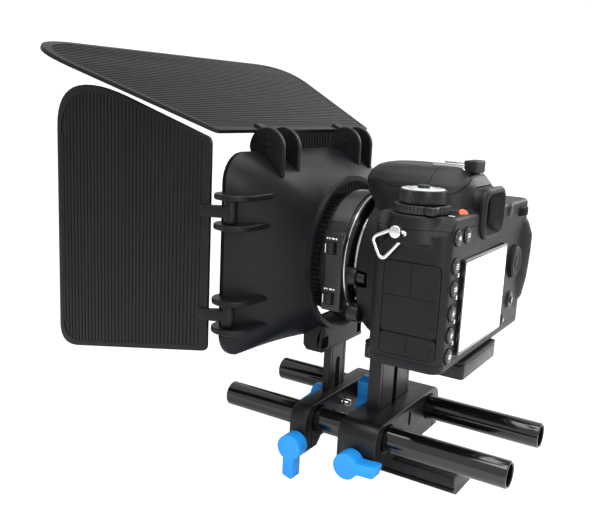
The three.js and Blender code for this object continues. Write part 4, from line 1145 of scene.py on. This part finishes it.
def knurled(axis, centre, r, low, high, teeth, depth=0.35, soft=0.4):
    """A disc whose rim carries fine teeth."""
    outline = []
    for i in range(teeth * 4):
        a = 2 * math.pi * i / (teeth * 4)
        reach = r if i % 4 in (0, 1) else r - depth
        outline.append((centre[0] + reach * math.cos(a), centre[1] + reach * math.sin(a)))
    return prism(axis, outline, low, high, soft)


def top_controls():
    low, high = span("mode_dial")
    x, y = (low.x + high.x) / 2, (low.y + high.y) / 2
    r = high.x - x
    piece("mode_dial_rim", knurled("z", (x, y), r, low.z, high.z - 0.5, 64, 0.3, 0.5), BUTTON, "mode_dial",
          ["mode_dial"])
    face = lathe("z", (x, y), [(0, high.z - 0.8), (r - 1.1, high.z - 0.8), (r - 1.1, high.z - 0.3),
                               (r - 1.9, high.z), (0, high.z)], 96)
    piece("mode_dial_face", face, SILVER, "mode_dial")
    piece("mode_dial_lock", disc("z", (x, y), 3.1, high.z - 0.6, high.z + 1.7, 0.6, 48), BUTTON, "mode_dial")
    dark, green = [], []
    for i in range(12):
        a = 2 * math.pi * i / 12 + 0.2
        mark = block(r - 5.4, r - 2.4, -0.4 - 0.4 * (i % 3), 0.4 + 0.4 * (i % 2), high.z - 0.2, high.z + 0.06,
                     0.03)
        mark = turned(mark, Matrix.Translation((x, y, 0)) @ Matrix.Rotation(a, 4, "Z"))
        (green if i in (0, 1, 2) else dark).append(mark)
    piece("mode_dial_marks", together(*dark), BUTTON, "mode_dial")
    piece("mode_dial_auto_mark", together(*green), GREEN, "mode_dial")

    low, high = span("drive_ring")
    ring = knurled("z", (x, y), 14.4, low.z, high.z, 48, 0.3, 0.4)
    tab = block(x + 5, x + 13.5, y + 6, y + 12.4, low.z, high.z, 0.8, 2.2)
    piece("drive_ring_knurl", union(ring, tab), BUTTON, "drive_ring", ["drive_ring"])

    low, high = span("shutter_button")
    cap = [(0, low.z), (5.2, low.z), (5.2, high.z - 0.9), (4.7, high.z - 0.2), (3.6, high.z),
           (0, high.z - 0.5)]
    piece("shutter_button_cap", lathe("z", SHUTTER_AT, cap, 64), BUTTON, "shutter_button", ["shutter_button"])
    low, high = span("power_ring")
    ring = pipe("z", SHUTTER_AT, 9.4, 5.5, low.z, high.z, 0.5, 72)
    lever = block(-53, -47.5, -35.4, -31.8, high.z - 1.2, high.z, 0.4, 1.2)
    piece("power_ring_lever", union(ring, lever), BUTTON, "power_ring", ["power_ring"])
    low, high = span("rear_dial")
    piece("rear_dial_wheel", knurled("z", REAR_DIAL_AT, 11, low.z, high.z, 60, 0.5, 0.5), RUBBER, "rear_dial",
          ["rear_dial"])
    low, high = span("front_dial")
    middle = (low + high) / 2
    wheel = knurled("x", (middle.y, middle.z), 9, low.x, high.x, 48, 0.5, 0.5)
    piece("front_dial_wheel", wheel, RUBBER, "front_dial", ["front_dial"])
    low, high = span("multi_selector")
    middle = (low + high) / 2
    dish = [(0, low.y), (9.5, low.y), (9.5, high.y - 0.9), (8.7, high.y), (6.2, high.y - 0.2),
            (4.4, high.y - 0.9)]
    dish += [(3.6, high.y - 0.8), (3.3, high.y - 0.2), (0, high.y)]
    piece("multi_selector_pad", lathe("y", (middle.x, middle.z), dish, 72), RUBBER, "multi_selector",
          ["multi_selector"])


def rear_button(name, x, z, r, high):
    dome = [(0, BODY_BACK - 1), (r + 1, BODY_BACK - 1), (r + 1, BODY_BACK + 0.25),
            (r + 0.3, BODY_BACK + 0.45), (r + 0.1, BODY_BACK)]
    dome += [(r, BODY_BACK), (r, high - 0.5), (r - 0.6, high), (0, high - 0.1)]
    piece(name, lathe("y", (x, z), dome, 48), BUTTON, "camera", ())


def body_marks():
    """Small moulded controls and painted marks that don't move on their own."""
    rear_button("exposure_button", -34.8, 129.9, 3.4, BODY_BACK + 1.1)
    rear_button("view_lever", -48.9, 73.5, 5.0, BODY_BACK + 1.5)
    rear_button("view_button", -48.9, 73.5, 2.2, BODY_BACK + 2.3)
    rear_button("info_button", -39.2, 62.6, 2.6, BODY_BACK + 1.0)
    piece("info_button_sign", icon("cross", -39.2, 62.6, BODY_BACK + 0.95, 0.9), WHITE, "camera")
    piece("view_lever_sign", icon("bars", -48.9, 73.5, BODY_BACK + 2.25, 1.0), WHITE, "camera")
    selector = union(disc("y", (37.7, 72), 5.0, -43, -36, 0.8, 48), block(36.7, 38.7, -44, -40, 68, 76, 0.4))
    piece("focus_selector", selector, BUTTON, "camera")
    marks = [disc("y", (34, 112), 1.3, -39.0, -38.2, 0.1, 32)]
    marks.append(block(37, 39.5, -39, -38.3, 80.5, 81.3, 0.05))
    marks.append(block(30.6, 33.4, -39, -38.3, 118.5, 119.6, 0.05))
    piece("mount_marks", together(*marks), WHITE, "camera")
    tick = block(-0.35, 0.35, -1.8, 1.8, -0.4, 0.25, 0.05)
    place = Matrix.Translation((47, 15.6, 134)) @ Matrix.Rotation(math.radians(-12), 4, "Z")
    piece("dial_index", turned(tick, place), WHITE, "camera")


# The strap ring's corners, as (y, z) from its lug.
RING_PATH = [(5, -1.4), (3.6, 0), (1.2, 0), (-1.2, 0), (-3.6, 0), (-5.2, -0.7), (-11, -3.6), (-12, -5.8),
             (-8.2, -13.4), (-5, -13.6)]


def rounded_loop(corners, steps=8, pull=0.25):
    """A closed path through every corner, bending smoothly at each."""
    count = len(corners)
    path = []
    for i in range(count):
        a, b, c, d = (Vector(corners[(i + k) % count]) for k in (-1, 0, 1, 2))
        leave, arrive = (c - a) * pull, (d - b) * pull
        for k in range(steps):
            t = k / steps
            point = b * (2 * t ** 3 - 3 * t ** 2 + 1) + leave * (t ** 3 - 2 * t ** 2 + t)
            path.append(tuple(point + c * (3 * t ** 2 - 2 * t ** 3) + arrive * (t ** 3 - t ** 2)))
    return path


def small_parts():
    low, high = span("lens_release")
    button = [(0, low.y + 0.5), (3.8, low.y), (4.6, low.y + 0.25), (5, low.y + 0.9), (5, -37), (3.2, -37),
              (3.2, high.y), (0, high.y)]
    piece("lens_release_cap", lathe("y", RELEASE_AT, button, 64), BUTTON, "lens_release", ["lens_release"])
    floor = block(-10.2, 10.2, -12.6, 7, 153.4, 154.9, 0.3, 0.8)
    piece("shoe_floor", floor, STEEL, "camera")
    rails = []
    for side in (-1, 1):
        outer, inner = side * 10.2, side * 7.4
        rails.append(block(*sorted((outer, side * 8.8)), -12, 6.4, 154.6, 157.2, 0.2, 0.5))
        rails.append(block(*sorted((outer, inner)), -12, 6.4, 156.5, 157.3, 0.2, 0.5))
    piece("shoe_rails", together(*rails), STEEL, "camera")
    piece("shoe_cover", block(-7, 8.6, 5.2, 12.6, 152.6, 159.4, 0.9, 1.4), RUBBER, "camera")
    dot = disc("z", (0, 0), 2.7, -1.2, 0.5, 0.5, 40)
    out = Vector((0.35, 0.6, 0.72)).to_track_quat("Z", "Y").to_matrix().to_4x4()
    piece("record_dot", turned(dot, Matrix.Translation((33, 16.6, 134.2)) @ out), RED, "camera")
    body_marks()
    for side in ("left", "right"):
        low, high = span(f"strap_ring_{side}")
        path = [((low.x + high.x) / 2, y - 6.5, z + 125.4) for y, z in rounded_loop(RING_PATH)]
        loop = wire(path, 0.95, sides=16)
        piece(f"strap_ring_{side}_wire", loop, STEEL, f"strap_ring_{side}", [f"strap_ring_{side}"], smooth=60)
    for side, wall in ((1, BODY_LEFT), (-1, BODY_RIGHT)):
        low, high = sorted((wall + side * 0.8, wall + side * 5.4))
        post = disc("x", LUG_AT, 3.2, low, high, 0.6, 40)
        eye = disc("y", (wall + side * 3.4, 125.4), 1.9, -20, 10, 0.1, 24)
        piece(f"strap_lug_{'left' if side > 0 else 'right'}", cut(post, eye), STEEL, "camera")


# ---------- stage ----------
def area_light(name, at, aim, size, power, color=(1, 1, 1)):
    data = bpy.data.lights.new(name, "AREA")
    data.shape = "RECTANGLE"
    data.size, data.size_y = size
    data.energy = power
    data.color = color
    light = bpy.data.objects.new(name, data)
    bpy.context.scene.collection.objects.link(light)
    light.location = at
    light.rotation_euler = (Vector(aim) - Vector(at)).to_track_quat("-Z", "Y").to_euler()


def camera_white(tree, shader, strength):
    """What the camera sees directly is mixed towards white; what the object reflects stays as it was."""
    glow = node(tree, "ShaderNodeEmission", Strength=strength)
    mix = node(tree, "ShaderNodeMixShader")
    seen = node(tree, "ShaderNodeMath", operation="MULTIPLY")
    tree.links.new(node(tree, "ShaderNodeLightPath").outputs["Is Camera Ray"], seen.inputs[0])
    seen.inputs[1].default_value = WHITE_SHARE
    tree.links.new(seen.outputs[0], mix.inputs[0])
    tree.links.new(shader, mix.inputs[1])
    tree.links.new(glow.outputs[0], mix.inputs[2])
    return mix.outputs[0]


WHITE_SHARE, WHITE_POWER = 0.92, 1.25


def studio():
    bm = bmesh.new()
    bmesh.ops.create_grid(bm, x_segments=1, y_segments=1, size=6)
    floor = raw_object("floor", bm)
    paper = surface("floor_paper", (0.86, 0.86, 0.865), 0.6, grain=(60.0, 0.02), tone=0.01)
    floor.data.materials.append(paper)
    tree = paper.node_tree
    white = camera_white(tree, tree.nodes["Principled BSDF"].outputs[0], WHITE_POWER)
    tree.links.new(white, tree.nodes["Material Output"].inputs["Surface"])
    world = bpy.data.worlds.new("studio")
    bpy.context.scene.world = world
    bpy.context.scene.view_settings.view_transform = "Standard"
    world.use_nodes = True
    tree = world.node_tree
    background = tree.nodes["Background"]
    background.inputs["Color"].default_value = (1.0, 1.0, 1.0, 1.0)
    background.inputs["Strength"].default_value = 0.75
    white = camera_white(tree, background.outputs[0], WHITE_POWER)
    tree.links.new(white, tree.nodes["World Output"].inputs["Surface"])
    area_light("overhead", (0.1, 0.1, 0.95), (0, 0, 0.1), (0.9, 0.7), 9)
    area_light("side_strip", (0.7, 0.75, 0.55), (0, 0.05, 0.1), (0.25, 0.8), 5)
    area_light("far_side", (-0.8, 0.3, 0.6), (0, 0, 0.1), (0.5, 0.7), 4)


add_camera()
rods()
blocks()
risers()
plates()
knobs()
matte_box()
flags()
lens()
camera_shells()
camera_insides()
rear_buttons()
display()
eyecup()
port_covers()
top_controls()
small_parts()
studio()
